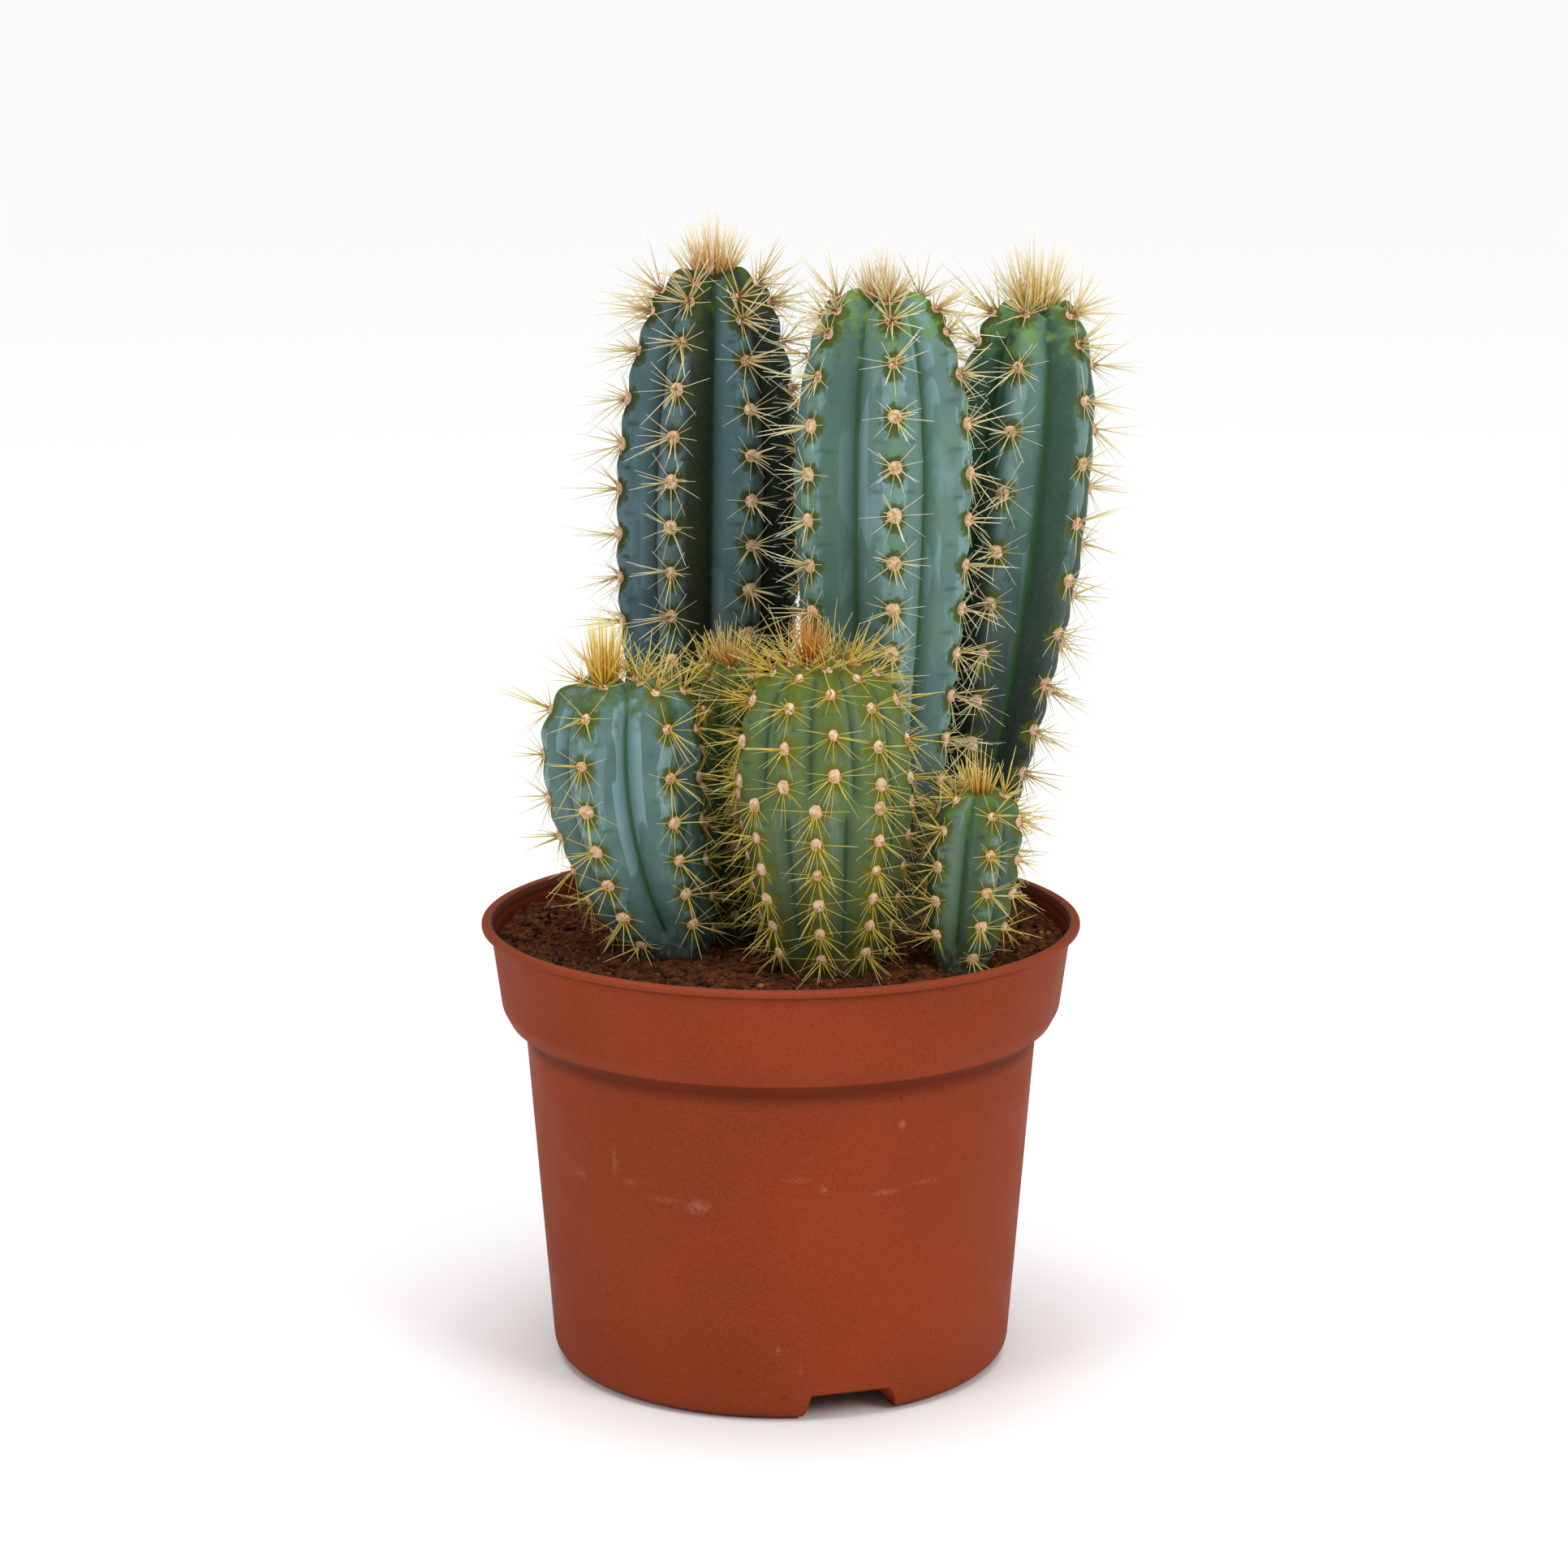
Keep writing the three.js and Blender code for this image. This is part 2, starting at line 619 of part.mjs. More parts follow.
function soil() {
  const wall = innerWall(GAP);
  const edge = wall[wall.length - 1];
  wall[wall.length - 1] = [edge[0] - 0.2, SOIL_LEVEL - SOIL_EDGE_DROP];
  const top = SOIL_RINGS.map((radius) => [radius, SOIL_LEVEL]);
  const points = [[0, wall[0][1]], ...wall, ...top, [0, SOIL_LEVEL]];
  const geometry = turned(points, POT_SIDES);
  const position = geometry.attributes.position;
  for (let i = 0; i < position.count; i += 1) {
    if (position.getZ(i) < SOIL_LEVEL - SOIL_EDGE_DROP - 0.1) continue;
    const lift = soilBump(position.getX(i), position.getY(i));
    position.setZ(i, position.getZ(i) + lift);
  }
  const solid = STEMS.reduce((rest, stem) => rest.subtract(holeFor(stem)), solidOf(geometry));
  return named('soil', geometryOf(solid), 0x3c2614, 0.95);
}

// A stem's buried foot, larger all round by the gap
function holeFor(stem) {
  const footRadius = stem.outline[0][0];
  const mouth = crestAt(stem, HOLE_TOP).radius + HOLE_GAP;
  const points = [
    [0, -FOOT_STEPS[0][1] - GAP],
    ...FOOT_STEPS.map(([share, depth]) => [footRadius * share + HOLE_GAP, -depth - GAP]),
    [mouth, HOLE_TOP],
    [0, HOLE_TOP],
  ];
  const geometry = turned(points, HOLE_SIDES);
  const position = geometry.attributes.position;
  for (let i = 0; i < position.count; i += 1) {
    const height = position.getZ(i);
    const centre = centreAt(stem, height);
    position.setXYZ(i, position.getX(i) + centre.x, position.getY(i) + centre.y, centre.z);
  }
  return solidOf(geometry);
}

// The whole plant, set so that the middle of its footprint is the origin
const group = new THREE.Group();
group.add(pot(), soil(), ...STEMS.map(stemMesh));
const reach = new THREE.Box3().setFromObject(group);
const middle = reach.getCenter(new THREE.Vector3());
group.position.set(-middle.x, -middle.y, 0);

export default group;
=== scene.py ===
"""Potted blue torch cactus: seven ribbed, spiny stems in peat, in a plastic nursery pot.

Shapes are worked out in millimetres from the pot's axis, and each finished piece is turned into the
frame's metres. Bearings are degrees from the front (-Y), turning towards +X. Heights of the stems
are above the soil.
"""

import math
import random

import bmesh
import bpy
import numpy as np
from mathutils import Color, Matrix, Vector, noise


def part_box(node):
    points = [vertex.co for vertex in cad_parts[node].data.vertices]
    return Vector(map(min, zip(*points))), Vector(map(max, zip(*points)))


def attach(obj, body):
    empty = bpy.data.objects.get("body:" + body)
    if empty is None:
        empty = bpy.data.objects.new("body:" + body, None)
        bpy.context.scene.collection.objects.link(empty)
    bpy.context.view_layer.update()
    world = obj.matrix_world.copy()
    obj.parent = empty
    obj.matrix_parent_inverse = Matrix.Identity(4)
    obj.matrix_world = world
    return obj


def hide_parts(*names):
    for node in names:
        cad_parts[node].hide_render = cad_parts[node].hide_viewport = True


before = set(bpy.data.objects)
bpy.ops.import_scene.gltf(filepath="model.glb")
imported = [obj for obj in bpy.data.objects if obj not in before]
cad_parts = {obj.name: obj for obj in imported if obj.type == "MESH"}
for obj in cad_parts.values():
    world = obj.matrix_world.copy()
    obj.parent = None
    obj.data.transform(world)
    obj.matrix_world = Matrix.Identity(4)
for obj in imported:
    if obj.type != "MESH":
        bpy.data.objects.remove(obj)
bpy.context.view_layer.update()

# From millimetres round the pot's axis to metres in the frame
MM = 0.001
pot_low, pot_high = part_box("pot")
TO_FRAME = Matrix.Translation(((pot_low.x + pot_high.x) / 2, 0, 0)) @ Matrix.Scale(MM, 4)
UP = Vector((0, 0, 1))

# Lengths in millimetres up to this count as nothing
TINY = 1e-3

# A size in metres so large that a height measured by it counts for nothing
LEVEL = 1e4

# Pot outline: [radius, height, rounding]
POT_STEPS = 256
POT_HEIGHT = 128
WALL = 1.5
PLATE_HEIGHT = 5.5
WALL_FOOT = (65.2, 0)
WALL_TOP = (72.8, 96.1)
POT_OUTSIDE = (
    (0, PLATE_HEIGHT), (57, PLATE_HEIGHT, 1), (56.5, 0, 0.8), (*WALL_FOOT, 6), (*WALL_TOP, 0.4),
    (77.2, 99.5, 0.8), (79.4, 103.6, 6), (82.4, 125.5, 0.3), (85, 126.2, 0.7), (85, POT_HEIGHT, 0.9),
    (82.2, POT_HEIGHT, 0.8), (81, 124, 1), (77.8, 103.5, 3), (71.3, 98.2, 2), (64.2, 7, 4), (0, 7),
)
NOTCH_BEARINGS = (17.4, 137.4, 257.4)
NOTCH_FOOT_WIDTH = 29
NOTCH_TOP_WIDTH = 22.7
NOTCH_INSIDE = (54, 3.3)
NOTCH_OUTSIDE = (72, 11)
DRAIN_RADIUS = 4.5
DRAIN_CIRCLE = 38
DRAIN_COUNT = 8
SHARP_ANGLE = 35

# Marks on the pot: [bearing, height, half width, half height, strength], and their tints
PALE_SCUFFS = (
    (-18.8, 62.6, 5.5, 3.2, 0.34), (-27, 63.5, 8, 1.6, 0.16), (-40.2, 72, 1.5, 7, 0.26),
    (-52, 65, 4, 2.4, 0.24), (-35.8, 66.8, 4, 1.6, 0.2), (4, 71.5, 6, 1.2, 0.16),
    (9.5, 68.3, 1.6, 2.2, 0.3), (24, 66.2, 6, 1.3, 0.26), (34, 67.4, 8, 0.9, 0.18),
    (27.4, 85.2, 1.8, 2.4, 0.26), (-0.6, 21.4, 0.9, 2, 0.3), (4.8, 15.5, 0.9, 1.8, 0.22),
    (150, 55, 9, 2.2, 0.22), (205, 78, 5, 3, 0.22), (100, 40, 7, 1.4, 0.2),
)
DARK_SPECKS = (
    (26.7, 93.2, 0.7, 2.4, 0.8), (-48.2, 36, 1, 3, 0.5), (-45.5, 31, 0.8, 1.4, 0.45),
    (-10.1, 15, 1.8, 1.6, 0.5), (-38, 71, 1.2, 1.2, 0.35), (1, 7.5, 1.6, 1, 0.4),
    (170, 88, 1, 1.6, 0.5), (232, 25, 1.4, 1.4, 0.5),
)

SCUFF_TINT = (200, 138, 116)
SPECK_TINT = (84, 40, 26)

# Painted shade under the collar, under the lip and at the foot, by height: [start, darkest, end of the
# darkest, stop, strength]
POT_PAINTED_SHADE = ((91, 96.2, 98.9, 100, 0.62), (124.6, 125.5, 126, 126.5, 0.5), (3, 0, 0, 1, 0.3))

# Soil: the wall it fills, as [radius, height], its top and what lies on it
SOIL_LEVEL = 124
SOIL_WALL = ((59.9, 7.3), (63.9, 11.3), (71, 98.2), (77.5, 103.5), (80.4, 122))
SOIL_STEPS = 380
SOIL_RINGS = 92
SOIL_EDGE = 79.8
SOIL_EDGE_DROP = 1.4
SOIL_PIT_DEPTH = 21
SOIL_SWELL = 1.5
SOIL_CLODS = 1.7
CRUMBS = 2600
FIBRES = 900
FIBRE_LENGTHS = (3, 8.5)
FIBRE_RADII = (0.08, 0.18)
SOIL_SEED = 11

# Stems: shared measures
FOOT_STEPS = ((0, -22), (0.5, -22), (0.85, -18), (1, -6), (1, -4), (1, -3), (1, -2), (1, -1))
RIB_START = -4
RIB_FULL = 8
RIB_POWER = 1.3
CROWN_GROOVE = 0.5
ROW_STEP = 1.05
LOWEST_PAD = 3
CREST_WAVE = 0.5
CREASE_DEPTH = 0.16
CREASE_WIDTH = 0.6
HALO_ABOVE = 1.6
HALO_BELOW = 3.4
HALO_ASIDE = 1.9
YOUNG_REACH = 21
FOOT_STAIN = 9
PEAT_STAIN = (58, 44, 26)
SKIN_BUMPS = ((9, 0.32), (3.7, 0.128), (1.6, 0.07))
YOUNG_STEPS = (0.9, 0.5)
YOUNG_INNERMOST = 5
PAD_SCATTER = 0.5
SPINE_RADIUS = 0.25
RING_TILTS = (58, 80)
CENTRE_TILTS = (8, 52)
RING_THICKNESSES = (0.55, 0.8)
CENTRE_THICKNESSES = (0.9, 1.2)
CROWN_THICKNESSES = (0.85, 1.3)
GOLDEN_ANGLE = 137.5
SPINE_TIP_SHARE = 0.2
CLEARANCE = 1.2
CROWN_SINK = 2
YOUNG_TINT = 0.15
SEED = 500

# Floor, light and camera: soft boxes as (name, place in metres, size, power)
FLOOR_REACH = 20
FLOOR_TINT = (250, 250, 250)
WORLD_STRENGTH = 0.34
SKYLIGHT_STRENGTH = 2.1
SKYLIGHT_ANGLE = 55
SOFTBOXES = (
    ("left_softbox", (-1.15, -1.1, 1.15), 0.7, 7.5),
    ("right_softbox", (1.15, -1.1, 1.15), 0.7, 13),
)
SOFTBOX_AIM = (0, 0, 0.17)
CAMERA_PLACE = (0.9, -1174.57, 418.07)
CAMERA_PITCH = 12.1
CAMERA_LENS = 97.58
SENSOR_WIDTH = 36

# What a stem's own line doesn't say. columns is how many corners a rib has across. fan is the angle
# that the spines round a pad span, ring and centre the lengths round its rim and inside it as shares,
# counts how many of each there are and young how many more on the youngest pads. The crown's tuft
# leans out by up to crown_spread degrees, and by crown_rim its tints fade into the side spines'.
COMMON = dict(
    bow=(0, 0), columns=22, rib_depth=0.3, pad_shrink=0.98, fan=310, ring=(0.42, 0.8),
    centre=(0.7, 1.25), counts=((8, 11), (5, 7)), young=3, stout=1, crown_spines=140,
    crown_spread=38, crown_rim=0.8, crown_aside=0,
)


def even_ribs(count, first):
    """Bearings of evenly spaced ribs"""
    return [first + i * 360 / count for i in range(count)]


# foot and crown are the axis at the soil and at the top, bow its sideways bend halfway up. outline is
# [radius at the rib crests, height]. first_pad is the height of the top pad of an even rib, pad the
# half width and half height of its wool. Painted shade on the rib flanks that other stems shade is
# [side of the rib, first bearing, last bearing, strength]. The darker tint low on the stem, partly
# aged skin and partly painted shade, is [tint, the heights it fades between, strength]. Tints are
# screen colours from 0 to 255, and those of spines run from root to tip.
STEMS = (
    dict(
        name="stem_tall_left", foot=(-21.3, 44), crown=(-19.6, 45), bow=(-0.8, 0),
        outline=((17, 0), (22.5, 40), (25.6, 80), (27, 110), (26.3, 134), (23.6, 153), (19.6, 168),
                 (14.8, 178.3), (8.5, 183.3), (0, 182)),
        ribs=even_ribs(7, -22.7), stagger=(0, 0.4, 0.1, 0.55, 0, 0.6, 0.28), first_pad=164.5,
        pad_step=13.2, pad_shrink=0.995, pad=(2.05, 2.1),
        spine=14, crown_spine=18.5, crown_radius=5,
        bare=((1, -26, 130, 1), (-1, 45, 130, 0.9)), slot="skin_blue_dark",
        skin=dict(
            base=(70, 98, 104), second=(78, 104, 106), crest=(80, 110, 94), valley=(40, 48, 28),
            groove=(16, 26, 12), wax=(104, 132, 144), flakes=0.35, wax_share=0.3, young=(64, 84, 20),
            halo=(56, 62, 8), aged=((50, 76, 84), (0, 70), 0.3)),
        side_tints=((176, 108, 52), (222, 204, 146), (250, 242, 216)),
        crown_tints=((236, 144, 22), (250, 230, 178)),
    ),
    dict(
        name="stem_tall_middle", foot=(26.5, 11), crown=(27.8, 11), bow=(0.4, 0),
        outline=((15.5, 0), (19, 30), (21.2, 55), (25, 88), (27.1, 118), (26.8, 140), (24.2, 157),
                 (20.3, 169.5), (15.8, 177), (9, 179.8), (0, 178)),
        ribs=[7.9, 67.9, 124, 181, 238, 311], stagger=(0, 0.32, 0.05, 0.45, 0.1, 0.32), columns=24,
        first_pad=162.6, pad_step=13.9, pad=(2.05, 2.15),
        spine=12.5, crown_spine=16.5, crown_radius=4.2,
        bare=((1, -60, 5, 0.55),), slot="skin_blue_pale",
        skin=dict(
            base=(92, 122, 118), second=(98, 132, 116), crest=(106, 140, 110), valley=(56, 86, 70),
            groove=(38, 76, 24), wax=(134, 166, 174), flakes=0.5, wax_share=0.4, young=(104, 136, 62),
            halo=(70, 84, 16), aged=((50, 50, 26), (32, 57), 0.97)),
        side_tints=((182, 108, 64), (224, 208, 150), (252, 245, 222)),
        crown_tints=((214, 134, 70), (246, 232, 200)),
    ),
    dict(
        name="stem_tall_right", foot=(50, 42), crown=(72.5, 43), bow=(3, 0),
        outline=((11.5, 0), (16.5, 37), (19, 61), (21.8, 90), (22.2, 125), (20.9, 145), (17.2, 162),
                 (11, 173), (0, 172)),
        ribs=[-14.5, 52, 108, 165, 225, 285], stagger=(0, 0.56, 0.1, 0.5, 0.15, 0.55), first_pad=157.4,
        pad_step=18.2, pad_shrink=0.945, pad=(2.05, 2.1),
        spine=14, crown_spine=23, crown_radius=5.2,
        bare=((-1, -60, 130, 0.7), (1, -140, -45, 0.6)), slot="skin_blue_green",
        skin=dict(
            base=(76, 106, 100), second=(90, 124, 112), crest=(114, 142, 136), valley=(44, 72, 48),
            groove=(34, 74, 24), wax=(124, 154, 152), flakes=0.6, wax_share=0.4, young=(106, 142, 80),
            halo=(80, 86, 20), aged=((30, 36, 30), (40, 150), 0.97)),
        side_tints=((180, 120, 60), (226, 210, 152), (252, 245, 220)),
        crown_tints=((238, 192, 82), (246, 230, 180)),
    ),
    dict(
        name="stem_short_left", foot=(-30.5, -23), crown=(-43.3, -27), bow=(-5.4, -1),
        outline=((11.5, 0), (16.2, 10), (19.4, 28), (21.4, 50), (21, 64), (17.6, 73.5), (9, 77.8),
                 (0, 76)),
        ribs=[-28, 42, 97, 152, 207, 268], stagger=(0, 0.25, 0.5, 0.1, 0.6, 0.05), rib_depth=0.28,
        first_pad=69.8, pad_step=13.4, pad_shrink=0.915, pad=(1.9, 1.9),
        spine=12.5, ring=(0.5, 0.92), counts=((7, 10), (3, 5)), young=-1, stout=0.88, crown_spine=22,
        crown_radius=3.6, crown_spines=112, crown_spread=16, crown_rim=0.35, crown_aside=-5,
        bare=((1, 40, 150, 0.5),), slot="skin_blue_pale",
        skin=dict(
            base=(82, 110, 108), second=(92, 124, 116), crest=(108, 138, 130), valley=(54, 84, 74),
            groove=(24, 70, 16), wax=(126, 158, 164), flakes=0.8, wax_share=0.35, young=(74, 96, 52),
            halo=(80, 90, 24), aged=((66, 82, 78), (0, 45), 0.45)),
        side_tints=((174, 114, 44), (212, 188, 90), (230, 210, 136)),
        crown_tints=((224, 152, 6), (236, 204, 88)),
    ),
    dict(
        name="stem_short_middle", foot=(12.8, -40), crown=(11.3, -37), bow=(-0.3, 0),
        outline=((15.2, 0), (18.4, 12), (22, 29), (24.2, 44), (23.8, 56), (22.4, 67.5), (18.6, 77.5),
                 (11.5, 83.8), (0, 83.4)),
        ribs=[-74, -27.5, 7.2, 41.3, 85, 125, 165, 205, 245],
        stagger=(0.37, 0.36, 0, 0.39, 0.42, 0.1, 0.5, 0.05, 0.45),
        lower_ribs=[-52, -5.5, 39.5, 94, 147, 199, 253], lower_stagger=(0, 0, 0, 0.3, 0, 0.4, 0.2),
        rib_change=49, columns=18, rib_depth=0.17, first_pad=78.7, pad_step=10.7, lower_pad=47.8,
        lower_step=8.7, fan=225, pad=(1.6, 2),
        spine=12.5, ring=(0.6, 0.98), counts=((8, 11), (3, 5)), young=-3, stout=0.8, crown_spine=17,
        crown_radius=3, crown_spines=104, crown_spread=17, crown_rim=0.3, crown_aside=-3,
        bare=((1, 60, 150, 0.5),), slot="skin_green",
        skin=dict(
            base=(88, 108, 66), second=(98, 118, 68), crest=(114, 124, 60), valley=(50, 80, 64),
            groove=(38, 62, 30), wax=(114, 144, 126), flakes=0.25, wax_share=0.26, young=(80, 104, 32),
            halo=(100, 102, 26), aged=((62, 60, 10), (0, 54), 0.92)),
        side_tints=((180, 120, 36), (206, 180, 70), (228, 210, 132)),
        crown_tints=((156, 62, 0), (204, 124, 6)),
    ),
    dict(
        name="stem_short_right", foot=(49.5, -40), crown=(54.2, -38), bow=(0.2, 0),
        outline=((7, 0), (10.2, 8), (12.4, 21), (12.7, 33), (11.8, 41.5), (8, 47.8), (0, 48)),
        ribs=[20, 78, 135, 195, 250, 308], stagger=(0, 0.3, 0.05, 0.5, 0.1, 0.43), columns=16,
        rib_depth=0.26, first_pad=43.6, pad_step=10.3, pad_shrink=0.97, pad=(1.7, 1.8),
        spine=9.5, young=0, stout=0.88, crown_spine=15, crown_radius=3, crown_spines=66,
        crown_spread=24, crown_rim=0.5,
        bare=((-1, -20, 130, 0.6),), slot="skin_blue_green",
        skin=dict(
            base=(86, 108, 92), second=(96, 120, 100), crest=(112, 136, 120), valley=(46, 68, 40),
            groove=(26, 60, 10), wax=(124, 152, 148), flakes=0.45, wax_share=0.36, young=(74, 106, 44),
            halo=(84, 92, 24), aged=((56, 74, 52), (0, 32), 0.45)),
        side_tints=((172, 114, 42), (208, 184, 88), (228, 210, 140)),
        crown_tints=((204, 138, 26), (230, 198, 96)),
    ),
    dict(
        name="stem_short_back", foot=(-14.4, -2), crown=(-15, -1),
        outline=((9, 0), (11, 20), (13.2, 46), (12.6, 62), (8.5, 75), (4.5, 77.5), (0, 76.5)),
        ribs=even_ribs(8, 10), stagger=(0, 0.4, 0.1, 0.5, 0, 0.45, 0.05, 0.4), columns=13,
        rib_depth=0.2, first_pad=70, pad_step=11, pad=(1.5, 1.7),
        spine=8.5, ring=(0.5, 0.9), stout=0.84, crown_spine=15, crown_radius=3.4, crown_spines=80,
        bare=((1, -150, 150, 0.3),), slot="skin_green",
        skin=dict(
            base=(66, 92, 50), second=(80, 106, 62), crest=(98, 120, 74), valley=(38, 58, 26),
            groove=(24, 40, 12), wax=(104, 126, 102), flakes=0.2, wax_share=0.2, young=(84, 104, 40),
            halo=(96, 98, 30), aged=((46, 56, 24), (0, 60), 0.6)),
        side_tints=((164, 104, 36), (202, 172, 72), (218, 194, 112)),
        crown_tints=((192, 100, 44), (226, 184, 100)),
    ),
)


def smoothstep(low, high, value):
    """0 up to low, 1 from high on, and a soft step between"""
    share = np.clip((value - low) / (high - low), 0, 1)
    return share * share * (3 - 2 * share)


def towards(bearing, radius=1.0):
    """The level place at a bearing and radius"""
    angle = math.radians(bearing)
    return Vector((radius * math.sin(angle), -radius * math.cos(angle), 0))


def smooth_outline(points, step):
    """A smooth curve through outline points, with corners a step apart"""
    first, last = np.array(points[0], float), np.array(points[-2], float)
    points = np.array([2 * first - points[1], *points, last * (-1, 1)], float)
    spans = np.linalg.norm(np.diff(points, axis=0), axis=1)
    slopes = np.diff(points, axis=0) / spans[:, None]
    before, after = spans[:-1, None], spans[1:, None]
    tangents = (slopes[:-1] * after + slopes[1:] * before) / (before + after)
    curve = []
    for i in range(len(points) - 3):
        start, end, length = points[i + 1], points[i + 2], spans[i + 1]
        count = max(1, round(length / step))
        share = np.arange(count)[:, None] / count
        square, cube = share ** 2, share ** 3
        curve.append((2 * cube - 3 * square + 1) * start + (3 * square - 2 * cube) * end
                     + (cube - 2 * square + share) * length * tangents[i]
                     + (cube - square) * length * tangents[i + 1])
    return np.vstack([*curve, points[-2]])


def valley_share(ribs, bearing):
    """0 at a rib's crest and 1 in the valley, the nearest rib's number, half the gap, and the flank"""
    ribs = np.array([*ribs, ribs[0] + 360], float)
    turned = (bearing - ribs[0]) % 360 + ribs[0]
    below = np.clip(np.searchsorted(ribs, turned, side="right") - 1, 0, len(ribs) - 2)
    gap = ribs[below + 1] - ribs[below]
    behind = turned - ribs[below]
    share = 1 - np.abs(1 - 2 * behind / gap)
    is_left = behind > gap / 2
    nearest = np.where(is_left, below + 1, below) % (len(ribs) - 1)
    return share, nearest, gap / 2, np.where(is_left, -1, 1)


class Stem:
    """The shape of one stem, from its line in STEMS"""

    def __init__(self, given):
        self.name = given["name"]
        self.given = {**COMMON, **given}
        self.top = given["outline"][-1][1]
        self.chain = smooth_outline(given["outline"], ROW_STEP)
        self.along = np.append(0, np.cumsum(np.linalg.norm(np.diff(self.chain, axis=0), axis=1)))
        self.shoulder = int(np.argmax(self.chain[:, 1])) + 1
        self.widest = self.chain[:, 0].max()
        self.rib_sets = [[given[key] for key in ("ribs", "first_pad", "pad_step", "stagger")]]
        if "lower_ribs" in given:
            lower = ("lower_ribs", "lower_pad", "lower_step", "lower_stagger")
            self.rib_sets.append([given[key] for key in lower])
        self.pad_rows = [self.rows_of(number) for number in range(len(self.rib_sets))]

    def rows_of(self, number):
        """For each rib of a set, its pads as [distance along the outline, youth from 0 to 1]"""
        ribs, first, step, stagger = self.rib_sets[number]
        change = self.given.get("rib_change")
        lowest = LOWEST_PAD if number or change is None else change + 1.5
        rows = []
        draw = random.Random(SEED + len(self.name) + number)
        for i in range(len(ribs)):
            row = []
            gap = step
            height = first - stagger[i] * step
            if number == 0:
                along = self.along_at(height)
                for young, share in enumerate(YOUNG_STEPS):
                    along += share * step
                    if np.interp(along, self.along, self.chain[:, 0]) < YOUNG_INNERMOST:
                        break
                    row.append((along, min(1, 0.6 + 0.2 * young)))
            while height > lowest:
                youth = smoothstep(1.8 * step, 0, first - height) * 0.45 if number == 0 else 0
                row.append((self.along_at(height), float(youth)))
                height -= gap + draw.uniform(-PAD_SCATTER, PAD_SCATTER)
                gap *= self.given["pad_shrink"]
            rows.append(sorted(row))
        return rows

    def centre(self, height):
        """The axis at a height, as x and y"""
        share = np.clip(height / self.top, 0, 1)
        bend = 4 * share * (1 - share)
        foot, crown, bow = self.given["foot"], self.given["crown"], self.given["bow"]
        return [foot[i] + (crown[i] - foot[i]) * share + bow[i] * bend for i in range(2)]

    def crest(self, height):
        """The radius at the rib crests"""
        rows = self.chain[:self.shoulder]
        return np.interp(height, rows[:, 1], rows[:, 0])

    def along_at(self, height):
        """How far along the outline a height lies"""
        rows = slice(self.shoulder)
        return float(np.interp(height, self.chain[rows, 1], self.along[rows]))

    def upper_share(self, height):
        """0 where the lower set of ribs rules, 1 where the upper one does"""
        change = self.given.get("rib_change")
        return np.ones_like(height) if change is None else smoothstep(change - 6, change + 5, height)

    def crest_place(self, bearing, along):
        """A place on a rib's crest, with the directions out of the skin and up along the crest"""
        def spot(distance):
            radius = float(np.interp(distance, self.along, self.chain[:, 0]))
            height = float(np.interp(distance, self.along, self.chain[:, 1]))
            middle = self.centre(height)
            return towards(bearing, radius) + Vector((middle[0], middle[1], SOIL_LEVEL + height))

        up = (spot(min(along + 1, self.along[-1])) - spot(along - 1)).normalized()
        side = towards(bearing + 90)
        out = side.cross(up).normalized()
        return spot(along), out, up


def pads_of(stem):
    """Each wool pad's bearing, its distance along the outline and its youth"""
    return [(bearing, along, youth)
            for (ribs, *_), rows in zip(stem.rib_sets, stem.pad_rows)
            for bearing, row in zip(ribs, rows) for along, youth in row]


def pad_offset(rows, step, nearest, along):
    """Distance above the nearest pad of the nearest rib, and the share of the way between two pads"""
    offset, between = np.zeros_like(along), np.zeros_like(along)
    for rib, row in enumerate(rows):
        spots = [spot for spot, _ in row]
        spots = np.array([spots[0] - step, *spots, spots[-1] + step])
        mine = nearest == rib
        above = np.clip(np.searchsorted(spots, along[mine]), 1, len(spots) - 1)
        low, high = spots[above - 1], spots[above]
        share = np.clip((along[mine] - low) / (high - low), 0, 1)
        between[mine] = share
        offset[mine] = np.where(share < 0.5, along[mine] - low, along[mine] - high)
    return offset, between


def mesh_of(name, bm):
    """A mesh from a bmesh, which is freed"""
    mesh = bpy.data.meshes.new(name)
    bm.to_mesh(mesh)
    bm.free()
    return mesh


def placed(name, data):
    """An object in the scene"""
    thing = bpy.data.objects.new(name, data)
    bpy.context.scene.collection.objects.link(thing)
    return thing


def finished(name, bm, material, node=None, sharp=None):
    """A piece made of a mesh in millimetres, riding on the plant's one body"""
    bm.transform(TO_FRAME)
    mesh = mesh_of(name, bm)
    mesh.materials.append(material)
    mesh.shade_smooth()
    if sharp:
        mesh.set_sharp_from_angle(angle=math.radians(sharp))
    piece = placed(name, mesh)
    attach(piece, "root")
    if node:
        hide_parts(node)


def turned(outline, steps, bearing=0):
    """A closed shape turned about the upright axis from corners of [radius, height]"""
    bm = bmesh.new()
    rings = []
    for radius, height in outline:
        count = steps if radius > TINY else 1
        rings.append([bm.verts.new(towards(bearing + k * 360 / steps, radius) + UP * height)
                      for k in range(count)])
    for ring, following in zip(rings, rings[1:]):
        for k in range(steps):
            places = ((ring, k), (following, k), (following, k + 1), (ring, k + 1))
            bm.faces.new(dict.fromkeys(row[i % len(row)] for row, i in places))
    bmesh.ops.recalc_face_normals(bm, faces=bm.faces)
    return bm


